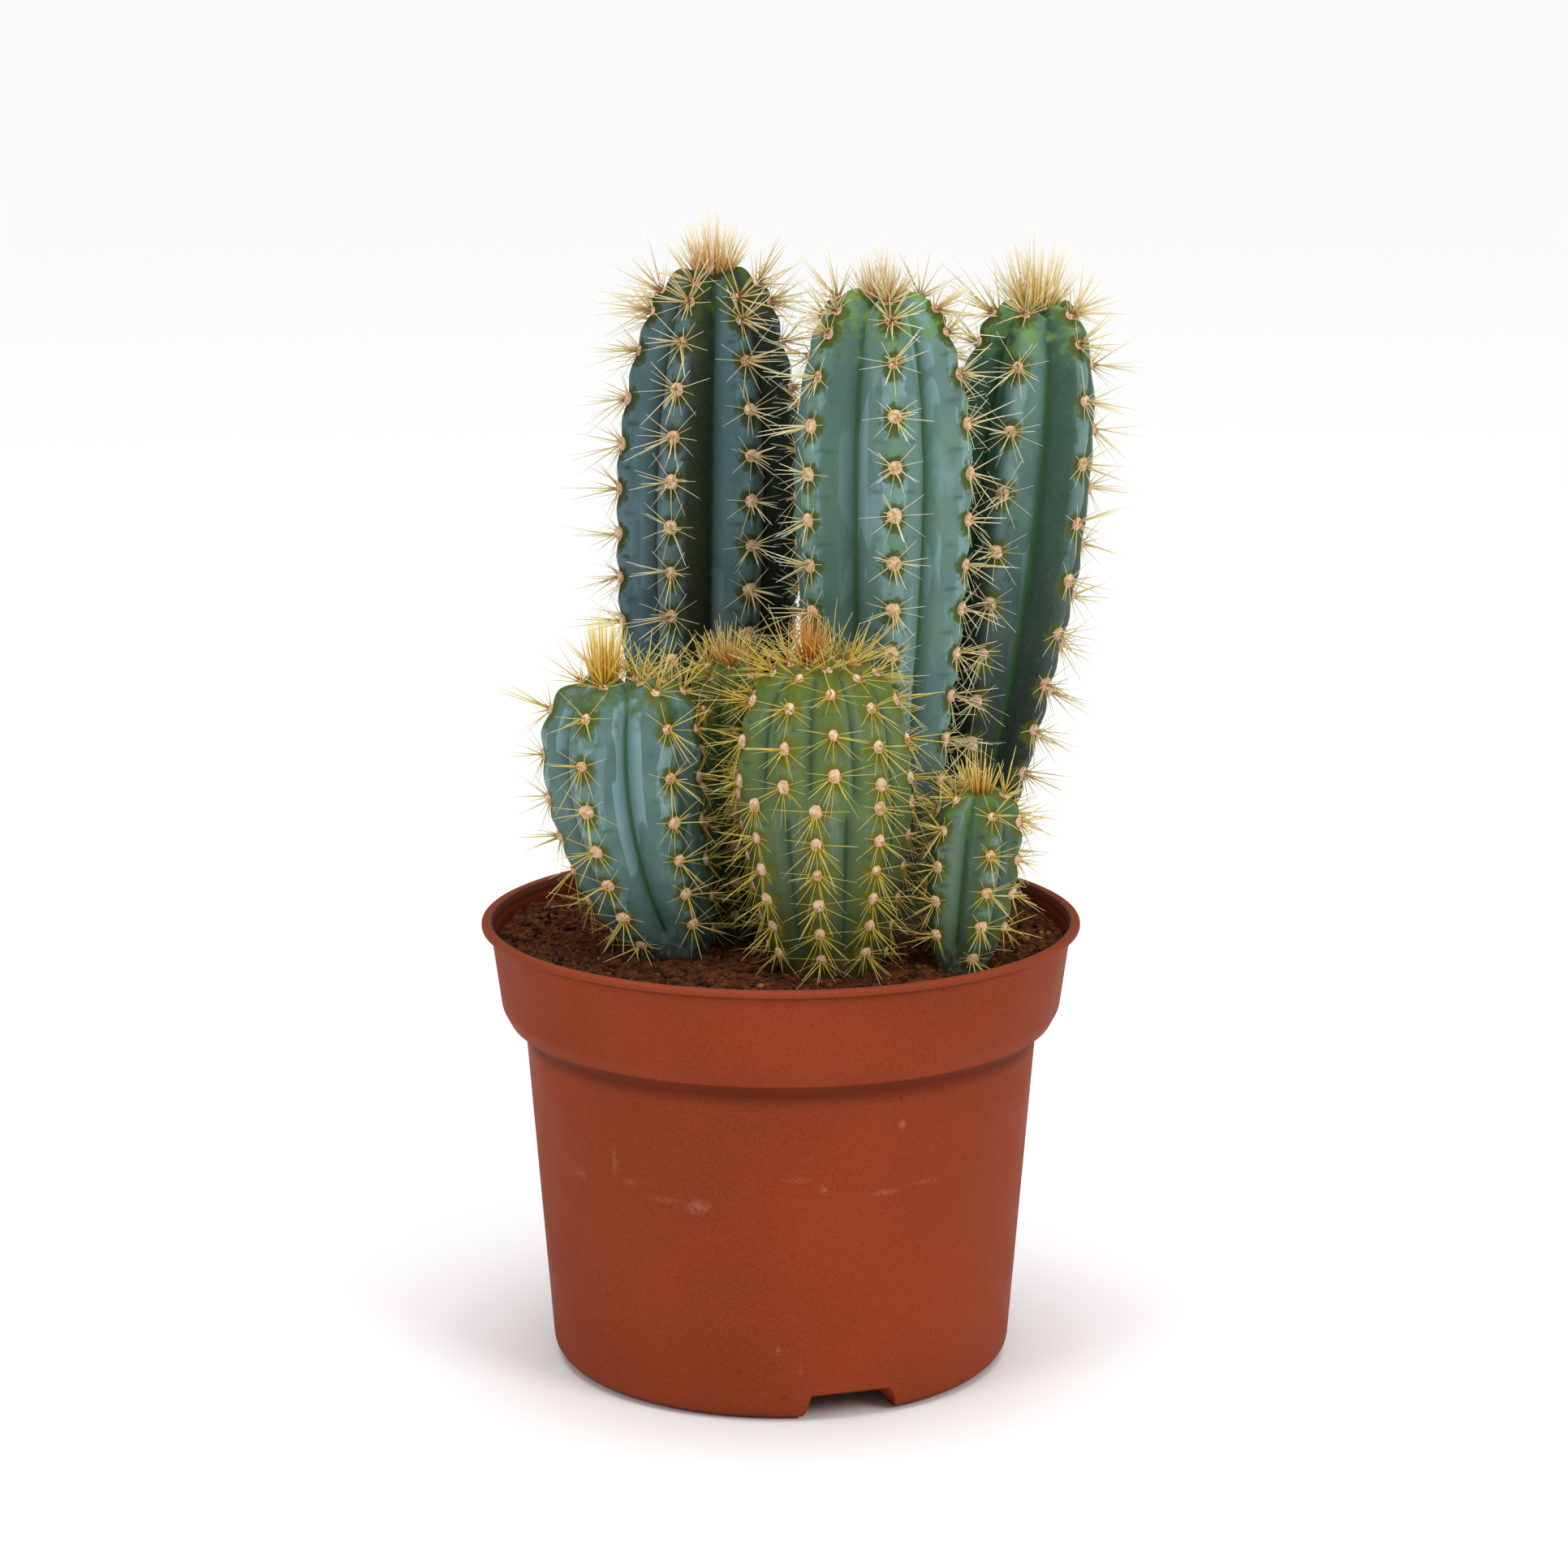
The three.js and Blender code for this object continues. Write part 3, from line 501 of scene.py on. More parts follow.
class Copies:
    """Copies of small shapes, gathered into one mesh, each with its own value of each mark"""

    def __init__(self, shapes, *marks):
        self.shapes = []
        self.gathered = bmesh.new()
        for bm in shapes:
            for mark in marks:
                bm.verts.layers.float.new(mark)
            mesh = mesh_of("shape", bm)
            rest = np.empty(len(mesh.vertices) * 3, np.float32)
            mesh.vertices.foreach_get("co", rest)
            self.shapes.append((mesh, rest))

    def add(self, which, matrix, **marks):
        mesh, rest = self.shapes[which % len(self.shapes)]
        mesh.vertices.foreach_set("co", rest)
        mesh.transform(matrix)
        for name, value in marks.items():
            mesh.attributes[name].data.foreach_set("value", [value] * len(mesh.vertices))
        self.gathered.from_mesh(mesh, face_normals=False, vertex_normals=False)

    def mesh(self):
        for mesh, _ in self.shapes:
            bpy.data.meshes.remove(mesh)
        bmesh.ops.recalc_face_normals(self.gathered, faces=self.gathered.faces)
        return self.gathered


# Materials

class Finish:
    """One material: short calls for the nodes of its pattern, and colours laid on in coats"""

    MIX_FACTOR, MIX_UNDER, MIX_OVER, MIX_RESULT = 0, 6, 7, 2

    def __init__(self, name, roughness, specular=0.35):
        self.material = bpy.data.materials.new(name)
        self.material.use_nodes = True
        self.tree = self.material.node_tree
        self.shader = self.tree.nodes["Principled BSDF"]
        self.uniform({"Roughness": roughness, "Specular IOR Level": specular})
        self.object_place = self.node("TexCoord", {}).outputs["Object"]
        self.colour = None

    def uniform(self, sockets):
        for socket, value in sockets.items():
            self.shader.inputs[socket].default_value = value

    def node(self, kind, sockets, **settings):
        made = self.tree.nodes.new("ShaderNode" + kind)
        for setting, value in settings.items():
            setattr(made, setting, value)
        for socket, value in sockets.items():
            if isinstance(value, bpy.types.NodeSocket):
                self.tree.links.new(value, made.inputs[socket])
            else:
                made.inputs[socket].default_value = value
        return made

    def noise(self, scale, detail=3.0, stretch=None, distortion=0.0):
        place = self.object_place
        if stretch:
            place = self.node("Mapping", {"Vector": place, "Scale": stretch}).outputs["Vector"]
        return self.node("TexNoise", {
            "Vector": place, "Scale": scale, "Detail": detail, "Distortion": distortion,
        }).outputs["Fac"]

    def mark(self, name):
        return self.node("Attribute", {}, attribute_name=name).outputs["Fac"]

    def step(self, value, low, high, start=0.0, end=1.0):
        return self.node("MapRange", {
            "Value": value, "From Min": low, "From Max": high, "To Min": start, "To Max": end,
        }, interpolation_type="SMOOTHSTEP").outputs["Result"]

    def sum(self, one, other):
        return self.node("Math", {0: one, 1: other}, operation="ADD").outputs["Value"]

    def product(self, one, other):
        return self.node("Math", {0: one, 1: other}, operation="MULTIPLY").outputs["Value"]

    def mix(self, factor, *colours):
        """Between two colours, each of them a socket or a screen colour"""
        under, over = (tint(each) if isinstance(each, tuple) else each for each in colours)
        return self.node("Mix", {
            self.MIX_FACTOR: factor, self.MIX_UNDER: under, self.MIX_OVER: over,
        }, data_type="RGBA").outputs[self.MIX_RESULT]

    def coat(self, colour, share, *span):
        """A further colour over what is there, by a share or where a value steps through a span"""
        share = self.step(share, *span) if span else share
        self.colour = self.mix(share, self.colour, colour)

    def roughened(self, value):
        self.tree.links.new(value, self.shader.inputs["Roughness"])

    def bumped(self, height, distance, strength=1.0):
        """The material, with its colour and its relief joined to the shader"""
        bump = self.node("Bump", {"Height": height, "Distance": distance, "Strength": strength})
        self.tree.links.new(self.colour, self.shader.inputs["Base Color"])
        self.tree.links.new(bump.outputs["Normal"], self.shader.inputs["Normal"])
        return self.material


def tint(screen):
    """A screen colour from 0 to 255 as the shader's numbers"""
    return (*Color([value / 255 for value in screen]).from_srgb_to_scene_linear(), 1)


def skin_finish(stem):
    """Waxy skin: blue bloom, dark valleys, green growth at the top and olive rings round the pads, with
    painted shade where other stems shade it
    """
    given = stem.given["skin"]
    finish = Finish(stem.name + "_skin", 0.55, specular=0.16)
    valley = finish.mark("valley")
    broad = finish.step(finish.noise(48, 3), 0.36, 0.66)
    finish.colour = finish.mix(broad, given["base"], given["second"])
    patches = finish.noise(90, 4, (1, 1, 0.45), 0.7)
    wisps = finish.noise(260, 5, (1, 1, 0.16), 0.4)
    bloom = finish.sum(finish.product(patches, 0.62), finish.product(wisps, 0.38))
    bloom = finish.sum(bloom, finish.step(valley, 0.45, 0.05, -0.02, 0.05))
    edge = 0.62 - 0.16 * given["wax_share"]
    bloom = finish.step(bloom, edge - 0.07, edge + 0.07)
    finish.coat(given["wax"], finish.product(bloom, 0.45))
    flakes = finish.noise(120, 3, (1, 1, 0.55), 0.5)
    ragged = finish.sum(valley, finish.step(flakes, 0.3, 0.7, -0.12, 0.12))
    beside_crest = finish.product(finish.step(ragged, 0.36, 0.32), finish.step(flakes, 0.5, 0.525))
    long_flakes = finish.noise(75, 2, (1, 1, 0.3), 0.3)
    beside_valley = finish.product(finish.step(valley, 0.6, 0.64), finish.step(long_flakes, 0.55, 0.57))
    flaked = finish.product(finish.sum(beside_crest, beside_valley), given["flakes"])
    finish.coat(given["wax"], flaked)
    # Painted shade on rib flanks that other stems shade
    finish.coat(given["valley"], finish.mark("bare"))
    finish.coat(given["crest"], valley, 0.22, 0.04, 0, 0.55)
    # A darker tint low on the stem: partly aged skin, partly painted shade where other stems shade it
    aged, _, age_and_shade_share = given["aged"]
    finish.coat(aged, finish.product(finish.mark("aged"), age_and_shade_share))
    finish.coat(given["valley"], valley, 0.6, 1.0, 0, 0.6)
    finish.coat(given["groove"], valley, 0.88, 0.99, 0, 0.85)
    fading = finish.step(finish.noise(150, 2), 0.4, 0.56, 0, 0.8)
    finish.coat(given["valley"], finish.product(finish.mark("crease"), fading))
    young = finish.sum(finish.mark("young"), finish.step(finish.noise(260, 4), 0.3, 0.7, -0.3, 0.3))
    finish.coat(given["young"], young, 0.2, 0.95)
    halo = finish.sum(finish.mark("halo"), finish.step(finish.noise(620, 3), 0.25, 0.75, -0.18, 0.18))
    finish.coat(given["halo"], halo, 0.24, 0.58, 0, 0.92)
    light = tuple(min(255, value * 1.25 + 6) for value in given["second"])
    finish.coat(light, finish.noise(2600, 2), 0.6, 0.75, 0, 0.22)
    stain = finish.sum(finish.mark("foot"), finish.step(finish.noise(520, 4), 0.3, 0.7, -0.35, 0.35))
    finish.coat(PEAT_STAIN, stain, 0.35, 1.1, 0, 0.8)
    finish.roughened(finish.step(bloom, 0, 1, 0.5, 0.64))
    return finish.bumped(finish.sum(finish.noise(1500, 2), finish.product(wisps, 0.6)), 0.00015, 0.5)


def wool_finish():
    """Matted wool, pinkish cream with reddish brown flecks"""
    finish = Finish("areole_wool", 0.95, specular=0.1)
    finish.uniform({"Sheen Weight": 0.35, "Sheen Roughness": 0.5})
    matted = finish.step(finish.noise(420, 3), 0.35, 0.65)
    finish.colour = finish.mix(matted, (216, 172, 130), (238, 208, 176))
    finish.coat((176, 108, 72), finish.noise(950, 2), 0.54, 0.66, 0, 0.6)
    return finish.bumped(finish.noise(2600, 3), 0.0003, 0.9)


def spine_finish(stem):
    """Straw-coloured spines, darker at the root; the crown's are redder at the root and creamier"""
    root, middle, tip = stem.given["side_tints"]
    finish = Finish(stem.name + "_spines", 0.45)
    finish.uniform({"Subsurface Weight": 0.35, "Subsurface Radius": (1, 0.8, 0.5),
                    "Subsurface Scale": 0.0008})
    along = finish.mark("along")
    finish.colour = finish.mix(finish.step(along, 0.02, 0.16), root, middle)
    finish.coat(tip, along, 0.45, 1.0)
    crown = finish.mix(finish.step(along, 0.25, 0.85), *stem.given["crown_tints"])
    finish.coat(crown, finish.mark("crown"))
    finish.coat(root, finish.noise(900, 2), 0.3, 0.7, 0, 0.12)
    return finish.bumped(finish.noise(2500, 1), 0.00005, 0.4)


def peat_finish():
    """Dark, fibrous peat with lighter crumbs"""
    finish = Finish("peat", 0.96, specular=0.15)
    clods = finish.step(finish.noise(420, 6), 0.3, 0.72)
    finish.colour = finish.mix(clods, (38, 17, 6), (102, 53, 22))
    fibre = finish.noise(900, 4, (1, 0.35, 1), 1.2)
    finish.coat((120, 72, 34), fibre, 0.6, 0.7, 0, 0.5)
    height = finish.sum(finish.noise(700, 6), finish.product(fibre, 0.6))
    return finish.bumped(height, 0.0011)


def crumb_finish():
    """Loose bits of peat, bark and fibre, each lighter or darker by its own mark"""
    finish = Finish("peat_crumbs", 0.95, specular=0.15)
    tone = finish.mark("tone")
    finish.colour = finish.mix(finish.step(tone, 0, 0.6), (42, 20, 8), (110, 62, 26))
    finish.coat((150, 104, 58), tone, 0.8, 1)
    finish.coat((34, 20, 12), finish.noise(1100, 3), 0.4, 0.7, 0, 0.5)
    return finish.bumped(finish.noise(1600, 4), 0.0005)


def pot_finish():
    """Terracotta-coloured plastic with a fine grain, pale scuffs, a few dark specks, and painted shade
    under the collar, under the lip and at the foot
    """
    finish = Finish("pot_plastic", 0.58, specular=0.045)
    cloud = finish.step(finish.noise(14, 3), 0.3, 0.7)
    finish.colour = finish.mix(cloud, (128, 53, 27), (140, 59, 31))
    grain = finish.noise(1500, 2)
    finish.coat((154, 70, 38), grain, 0.35, 0.75, 0, 0.35)
    finish.coat((106, 42, 20), grain, 0.45, 0.25, 0, 0.35)
    height = finish.node("SeparateXYZ", {"Vector": finish.object_place}).outputs["Z"]
    height = finish.product(height, 1 / MM)
    # Painted shade: darker bands below the collar's overhang, below the lip and along the foot
    for start, darkest, end, stop, strength in POT_PAINTED_SHADE:
        painted_shade = finish.product(finish.step(height, start, darkest), finish.step(height, stop, end))
        finish.coat((70, 28, 16), finish.product(painted_shade, strength))
    radius = distance(finish, TO_FRAME.translation, (MM, MM, LEVEL))
    inner_face = finish.step(radius, 84, 81.8, 0.12, 0.85)
    finish.coat((112, 72, 58), finish.product(inner_face, finish.step(height, 125.6, 127.2)))
    streak = finish.noise(900, 4, (0.6, 0.6, 1), 0.8)
    for marks, solid, screen in ((PALE_SCUFFS, 0.7, SCUFF_TINT), (DARK_SPECKS, 0.55, SPECK_TINT)):
        streaked = finish.step(streak, 0.3, solid)
        for *place, strength in marks:
            worn = finish.product(pot_mark(finish, *place), streaked)
            finish.coat(screen, finish.product(worn, strength))
    finish.roughened(finish.step(finish.noise(60, 4), 0.3, 0.7, 0.5, 0.62))
    return finish.bumped(finish.sum(grain, finish.product(finish.noise(420, 2), 0.5)), 0.00006, 0.5)


def distance(finish, middle, size):
    """How far the surface is from a middle, in sizes along X, Y and Z"""
    offset = finish.node("VectorMath", {0: finish.object_place, 1: middle}, operation="SUBTRACT")
    share = finish.node("VectorMath", {0: offset.outputs["Vector"], 1: size}, operation="DIVIDE")
    return finish.node("VectorMath", {0: share.outputs["Vector"]}, operation="LENGTH").outputs["Value"]


def pot_mark(finish, bearing, height, half_width, half_height):
    """1 at a mark's middle on the pot's wall, fading to 0 at its rim"""
    (foot_radius, low), (top_radius, high) = WALL_FOOT, WALL_TOP
    radius = foot_radius + (top_radius - foot_radius) * (height - low) / (high - low)
    middle = TO_FRAME @ (towards(bearing, radius) + UP * height)
    size = Vector((half_width, half_width, half_height)) * MM
    return finish.step(distance(finish, middle, size), 1, 0.1)


# Pot

def rounded(points, steps=5):
    """Outline corners of [radius, height, rounding], each rounding drawn as an arc"""
    outline = []
    for i, (radius, height, *rounding) in enumerate(points):
        corner = Vector((radius, 0, height))
        if not rounding:
            outline.append((radius, height))
            continue
        before = (Vector((points[i - 1][0], 0, points[i - 1][1])) - corner).normalized()
        after = (Vector((points[i + 1][0], 0, points[i + 1][1])) - corner).normalized()
        half = before.angle(after) / 2
        centre = corner + (before + after).normalized() * rounding[0] / math.sin(half)
        start = corner + before * rounding[0] / math.tan(half) - centre
        end = corner + after * rounding[0] / math.tan(half) - centre
        arc = [centre + start.slerp(end, k / steps) * rounding[0] for k in range(steps + 1)]
        outline += [(spot.x, spot.z) for spot in arc]
    return outline


def subdivided(outline, longest):
    """The outline with long straight stretches cut up, so that turned faces stay short"""
    cut = [outline[0]]
    for start, end in zip(outline, outline[1:]):
        count = max(1, math.ceil(math.dist(start, end) / longest))
        cut += [tuple(a + (b - a) * k / count for a, b in zip(start, end)) for k in range(1, count + 1)]
    return cut


def pot_cutters():
    """Blocks for the notches in the foot and bars for the drain holes"""
    bm = bmesh.new()
    below = 2
    (inner, inner_height), (outer, outer_height) = NOTCH_INSIDE, NOTCH_OUTSIDE
    flare = (NOTCH_FOOT_WIDTH - NOTCH_TOP_WIDTH) / outer_height
    for bearing in NOTCH_BEARINGS:
        block = bmesh.ops.create_cube(bm, size=1)["verts"]
        for corner in block:
            is_top = corner.co.z > 0
            radius, top = (outer, outer_height) if corner.co.y < 0 else (inner, inner_height)
            width = NOTCH_TOP_WIDTH if is_top else NOTCH_FOOT_WIDTH + flare * below
            corner.co = (corner.co.x * width, -radius, top if is_top else -below)
        bmesh.ops.rotate(bm, verts=block, cent=(0, 0, 0),
                         matrix=Matrix.Rotation(math.radians(bearing), 3, "Z"))
    places = [towards(i * 360 / DRAIN_COUNT, DRAIN_CIRCLE) for i in range(DRAIN_COUNT)]
    for place in [*places, Vector()]:
        bmesh.ops.create_cone(bm, cap_ends=True, segments=32, radius1=DRAIN_RADIUS,
                              radius2=DRAIN_RADIUS, depth=WALL * 4,
                              matrix=Matrix.Translation(place + UP * (PLATE_HEIGHT + WALL / 2)))
    bmesh.ops.recalc_face_normals(bm, faces=bm.faces)
    return bm


def cut(bm, cutters):
    """The first mesh less the second"""
    whole = placed("whole", mesh_of("whole", bm))
    tool = placed("cutters", mesh_of("cutters", cutters))
    boolean = whole.modifiers.new("cut", "BOOLEAN")
    boolean.operation = "DIFFERENCE"
    boolean.solver = "EXACT"
    boolean.object = tool
    left = bpy.data.meshes.new_from_object(whole.evaluated_get(bpy.context.evaluated_depsgraph_get()))
    result = bmesh.new()
    result.from_mesh(left)
    bmesh.ops.dissolve_degenerate(result, dist=TINY, edges=result.edges)
    for mesh in (whole.data, tool.data, left):
        bpy.data.meshes.remove(mesh)
    return result


def pot():
    outline = subdivided(rounded(POT_OUTSIDE), 12)
    whole = turned(outline, POT_STEPS)
    finished("pot_shell", cut(whole, pot_cutters()), pot_finish(), "pot", SHARP_ANGLE)


# Stems

def stem_skin(stem):
    """The ribbed skin, with marks for its valleys, creases, pad rings and young growth"""
    given = stem.given
    foot = [(share * given["outline"][0][0], depth) for share, depth in FOOT_STEPS]
    columns = given["columns"] * len(given["ribs"])
    profile = np.array([*foot, *stem.chain])
    bm = turned(profile, columns, given["ribs"][0])
    places = np.array([corner.co for corner in bm.verts])
    radius = np.hypot(places[:, 0], places[:, 1])
    bearing = np.degrees(np.arctan2(places[:, 0], -places[:, 1]))
    height = places[:, 2]
    row = np.hypot(radius[:, None] - profile[:, 0], height[:, None] - profile[:, 1]).argmin(axis=1)
    slope = np.gradient(profile, axis=0)
    slope /= np.linalg.norm(slope, axis=1)[:, None]
    outward = np.column_stack([slope[:, 1], -slope[:, 0]])[row]
    steps = np.append(0, np.cumsum(np.linalg.norm(np.diff(profile, axis=0), axis=1)))
    along = (steps - steps[-len(stem.chain)])[row]

    upper = stem.upper_share(height)
    marks = {}
    for number, (ribs, _, step, _) in enumerate(stem.rib_sets):
        share, nearest, half_gap, flank = valley_share(ribs, bearing)
        # Painted shade on the rib flanks that other stems shade, between a first and a last bearing
        bare = np.zeros_like(share)
        for way, first, last, strength in given["bare"]:
            spot = strength * smoothstep(0.1, 0.4, share) * (flank == way)
            spot = spot * smoothstep(first - 5, first + 5, bearing)
            bare += spot * smoothstep(last + 5, last - 5, bearing)
        offset, between = pad_offset(stem.pad_rows[number], step, nearest, along)
        sideways = share * np.radians(half_gap) * radius
        lobe = -np.cos(between * math.tau) * (1 - share) ** 1.4
        mid = (between - 0.5) * step / CREASE_WIDTH
        crease = np.exp(-mid ** 2) * smoothstep(0.12, 0.25, share) * (1 - smoothstep(0.4, 0.62, share))
        reach = given["pad"][1] + np.where(offset < 0, HALO_BELOW, HALO_ABOVE)
        halo = np.exp(-(offset / reach) ** 2 - (sideways / (given["pad"][0] + HALO_ASIDE)) ** 2)
        weight = upper if number == 0 else 1 - upper
        found = {"valley": share, "lobe": lobe, "crease": crease, "halo": halo, "bare": bare}
        for name, value in found.items():
            marks[name] = marks.get(name, 0) + weight * value
    above = smoothstep(1, 7, height)
    young = smoothstep(stem.top - YOUNG_REACH, stem.top - 1, height)
    for name in ("lobe", "crease", "halo"):
        marks[name] = marks[name] * above

    thick = np.maximum(radius, CROWN_GROOVE * stem.widest) * smoothstep(0.5, 8, radius)
    depth = given["rib_depth"] * thick * smoothstep(RIB_START, RIB_FULL, height)
    bumps = np.array([sum(tall * noise.noise(corner.co / wide) for wide, tall in SKIN_BUMPS)
                      for corner in bm.verts])
    shy = smoothstep(2, 8, radius) * above
    wave = CREST_WAVE * (1 + 0.6 * young)
    relief = wave * marks.pop("lobe") - CREASE_DEPTH * marks["crease"]
    lift = shy * (relief + bumps) - depth * marks["valley"] ** RIB_POWER
    skin_radius = radius + outward[:, 0] * lift
    skin_height = height + outward[:, 1] * lift
    middle = stem.centre(height)
    angle = np.radians(bearing)
    moved = np.column_stack([middle[0] + skin_radius * np.sin(angle),
                             middle[1] - skin_radius * np.cos(angle), SOIL_LEVEL + skin_height])

    marks["young"] = young * (1 - 0.5 * smoothstep(0.1, 0.5, marks["valley"]))
    marks["valley"] = marks["valley"] * above
    marks["foot"] = 1 - smoothstep(0, FOOT_STAIN, height)
    # How far the darker tint low on the stem reaches: partly aged skin, partly painted shade
    _, age_and_shade_heights, _ = given["skin"]["aged"]
    marks["aged"] = 1 - smoothstep(*age_and_shade_heights, height)
    layers = {name: bm.verts.layers.float.new(name) for name in marks}
    for i, corner in enumerate(bm.verts):
        corner.co = moved[i]
        for name, layer in layers.items():
            corner[layer] = marks[name][i]
    bmesh.ops.recalc_face_normals(bm, faces=bm.faces)
    finished(stem.name + "_skin", bm, skin_finish(stem), stem.name)


def lump(subdivisions, swell, scale, shift):
    """A ball of radius 1 that swells and sinks by a share of it"""
    bm = bmesh.new()
    bmesh.ops.create_icosphere(bm, subdivisions=subdivisions, radius=1)
    for corner in bm.verts:
        corner.co *= 1 + swell * noise.noise(corner.co * scale + Vector(shift))
    return bm


def pad_matrix(place, out, up, size):
    """From a pad's own directions (side, up, out) to its place on the skin"""
    side = up.cross(out)
    turn = Matrix((side, up, out)).transposed().to_4x4()
    return Matrix.Translation(place) @ turn @ Matrix.Diagonal((*size, 1))


def stem_wool(stem, pads, wool):
    """The wool pads, lumpy domes sunk a little into the crests"""
    domes = Copies([lump(2, 0.22, 1.7, (seed * 7, 0, 0)) for seed in range(3)])
    draw = random.Random(SEED + 3 * len(stem.name))
    half_width, half_height = stem.given["pad"]
    for i, (bearing, along, youth) in enumerate(pads):
        place, out, up = stem.crest_place(bearing, along)
        size = (1 - 0.35 * youth) * draw.uniform(0.88, 1.1)
        place = place - out * (CREST_WAVE * (1 + 0.6 * youth))
        domes.add(i, pad_matrix(place, out, up, (half_width * size, half_height * size, 1.25 * size)))
    finished(stem.name + "_wool", domes.mesh(), wool)


def needle_shape(bend):
    """A spine along Z from 0 to 1, of radius 1 at its root, its tip bent aside"""
    bm = bmesh.new()
    bmesh.ops.create_cone(bm, cap_ends=True, segments=4, radius1=1, radius2=SPINE_TIP_SHARE, depth=1,
                          matrix=Matrix.Translation((0, 0, 0.5)))
    for share in (0.36, 0.7):
        everything = bm.verts[:] + bm.edges[:] + bm.faces[:]
        bmesh.ops.bisect_plane(bm, geom=everything, plane_co=(0, 0, share), plane_no=UP)
    along = bm.verts.layers.float.new("along")
    for corner in bm.verts:
        share = corner.co.z
        corner[along] = share
        corner.co.x += bend * share ** 2
    return bm


def needle_matrix(root, direction, length, radius, turn):
    aim = direction.to_track_quat("Z", "Y").to_matrix().to_4x4()
    spin = Matrix.Rotation(turn, 4, "Z")
    return Matrix.Translation(root) @ aim @ spin @ Matrix.Diagonal((radius, radius, length, 1))


def is_blocked(spot, own):
    """True inside another stem, the soil or the pot's wall"""
    in_wall = spot.z < POT_HEIGHT + 1 and math.hypot(spot.x, spot.y) > 80
    if in_wall or spot.z < SOIL_LEVEL + 0.5:
        return True
    for stem in stems:
        height = spot.z - SOIL_LEVEL
        if stem is own or height > stem.top + 1:
            continue
        middle = stem.centre(height)
        if math.hypot(spot.x - middle[0], spot.y - middle[1]) < stem.crest(height) + CLEARANCE:
            return True
    return False


def free_length(own, root, direction, length):
    """As much of a spine's length as stays clear of the other pieces"""
    samples = 7
    for k in range(1, samples + 1):
        if is_blocked(root + direction * (length * k / samples), own):
            return length * (k - 1) / samples
    return length


def leaning(around, tilt, side, up, out):
    """A direction tilted away from a pad's outward one, towards a bearing round the pad"""
    flat = side * math.sin(around) - up * math.cos(around)
    return (out * math.cos(tilt) + flat * math.sin(tilt)).normalized()


def stem_spines(stem, pads):
    """All spines of a stem: rings and centres of spines on the pads, and the crown's tuft"""
    needles = Copies([needle_shape(bend) for bend in (0, 1.4, 3)], "crown")
    draw = random.Random(SEED + 7 * len(stem.name) + len(pads))
    given = stem.given
    ring_count, centre_count = given["counts"]

    def grow(root, direction, length, radius, crown):
        length = free_length(stem, root, direction, length)
        if length > 2:
            matrix = needle_matrix(root, direction, length, radius, draw.uniform(0, math.tau))
            needles.add(draw.randrange(3), matrix, crown=crown)

    for bearing, along, youth in pads:
        place, out, up = stem.crest_place(bearing, along)
        side = up.cross(out)
        root = place - out * (CREST_WAVE - 0.3)
        half_width, half_height = (value * 0.55 * (1 - 0.3 * youth) for value in given["pad"])
        stout = SPINE_RADIUS * given["stout"] * (1 + 0.2 * youth)
        reach = given["spine"] * (1 + 0.25 * youth)
        colour = YOUNG_TINT * youth
        ring = draw.randint(*ring_count)
        for k in range(ring):
            around = math.radians(((k + 0.5) / ring - 0.5) * given["fan"] + draw.uniform(-11, 11))
            tilt = math.radians(draw.uniform(*RING_TILTS) - 18 * youth)
            rim = side * (half_width * math.sin(around)) - up * (half_height * math.cos(around))
            length = reach * draw.uniform(*given["ring"])
            thin = stout * draw.uniform(*RING_THICKNESSES)
            grow(root + rim, leaning(around, tilt, side, up, out), length, thin, colour)
        for k in range(draw.randint(*centre_count) + round(given["young"] * youth)):
            around = math.radians(draw.uniform(-0.5, 0.5) * given["fan"])
            tilt = math.radians(draw.uniform(*CENTRE_TILTS))
            start = root + side * draw.uniform(-0.6, 0.6) + up * draw.uniform(-0.6, 0.6)
            length = reach * draw.uniform(*given["centre"])
            thick = stout * draw.uniform(*CENTRE_THICKNESSES)
            grow(start, leaning(around, tilt, side, up, out), length, thick, colour)

    sunk = Vector((given["crown_aside"], 0, -CROWN_SINK))
    for k in range(given["crown_spines"]):
        share = math.sqrt((k + 0.5) / given["crown_spines"])
        bearing = k * GOLDEN_ANGLE + draw.uniform(-8, 8)
        along = stem.along[-1] - given["crown_radius"] * share
        place, out, up = stem.crest_place(bearing, along)
        tilt = math.radians(2 + given["crown_spread"] * share ** 1.5 * draw.uniform(0.3, 1.3))
        turn = towards(bearing + draw.uniform(-25, 25))
        direction = (UP * math.cos(tilt) + turn * math.sin(tilt)).normalized()
        length = given["crown_spine"] * (1.1 - 0.35 * share) * draw.uniform(0.55, 1.12)
        radius = SPINE_RADIUS * given["stout"] * draw.uniform(*CROWN_THICKNESSES)
        grow(place + sunk, direction, length, radius, 1 - given["crown_rim"] * share ** 2)
    finished(stem.name + "_spines", needles.mesh(), spine_finish(stem))


# Soil

def soil_height(x, y):
    """The soil's top, above the stems' zero level"""
    spot = Vector((x, y, 0))
    slow = noise.noise(spot / 26) * SOIL_SWELL
    clods = noise.fractal(spot / 6, 0.85, 2.1, 5) * SOIL_CLODS
    edge = float(smoothstep(70, SOIL_EDGE, math.hypot(x, y)))
    return slow + clods - SOIL_EDGE_DROP * edge


def pit_share(x, y):
    """1 under a stem's foot, where the soil is pressed down, and 0 clear of it"""
    deepest = 0
    for stem in stems:
        foot = stem.given["foot"]
        radius = stem.given["outline"][0][0]
        distance = math.hypot(x - foot[0], y - foot[1])
        deepest = max(deepest, float(smoothstep(radius - 0.5, radius - 2.6, distance)))
    return deepest


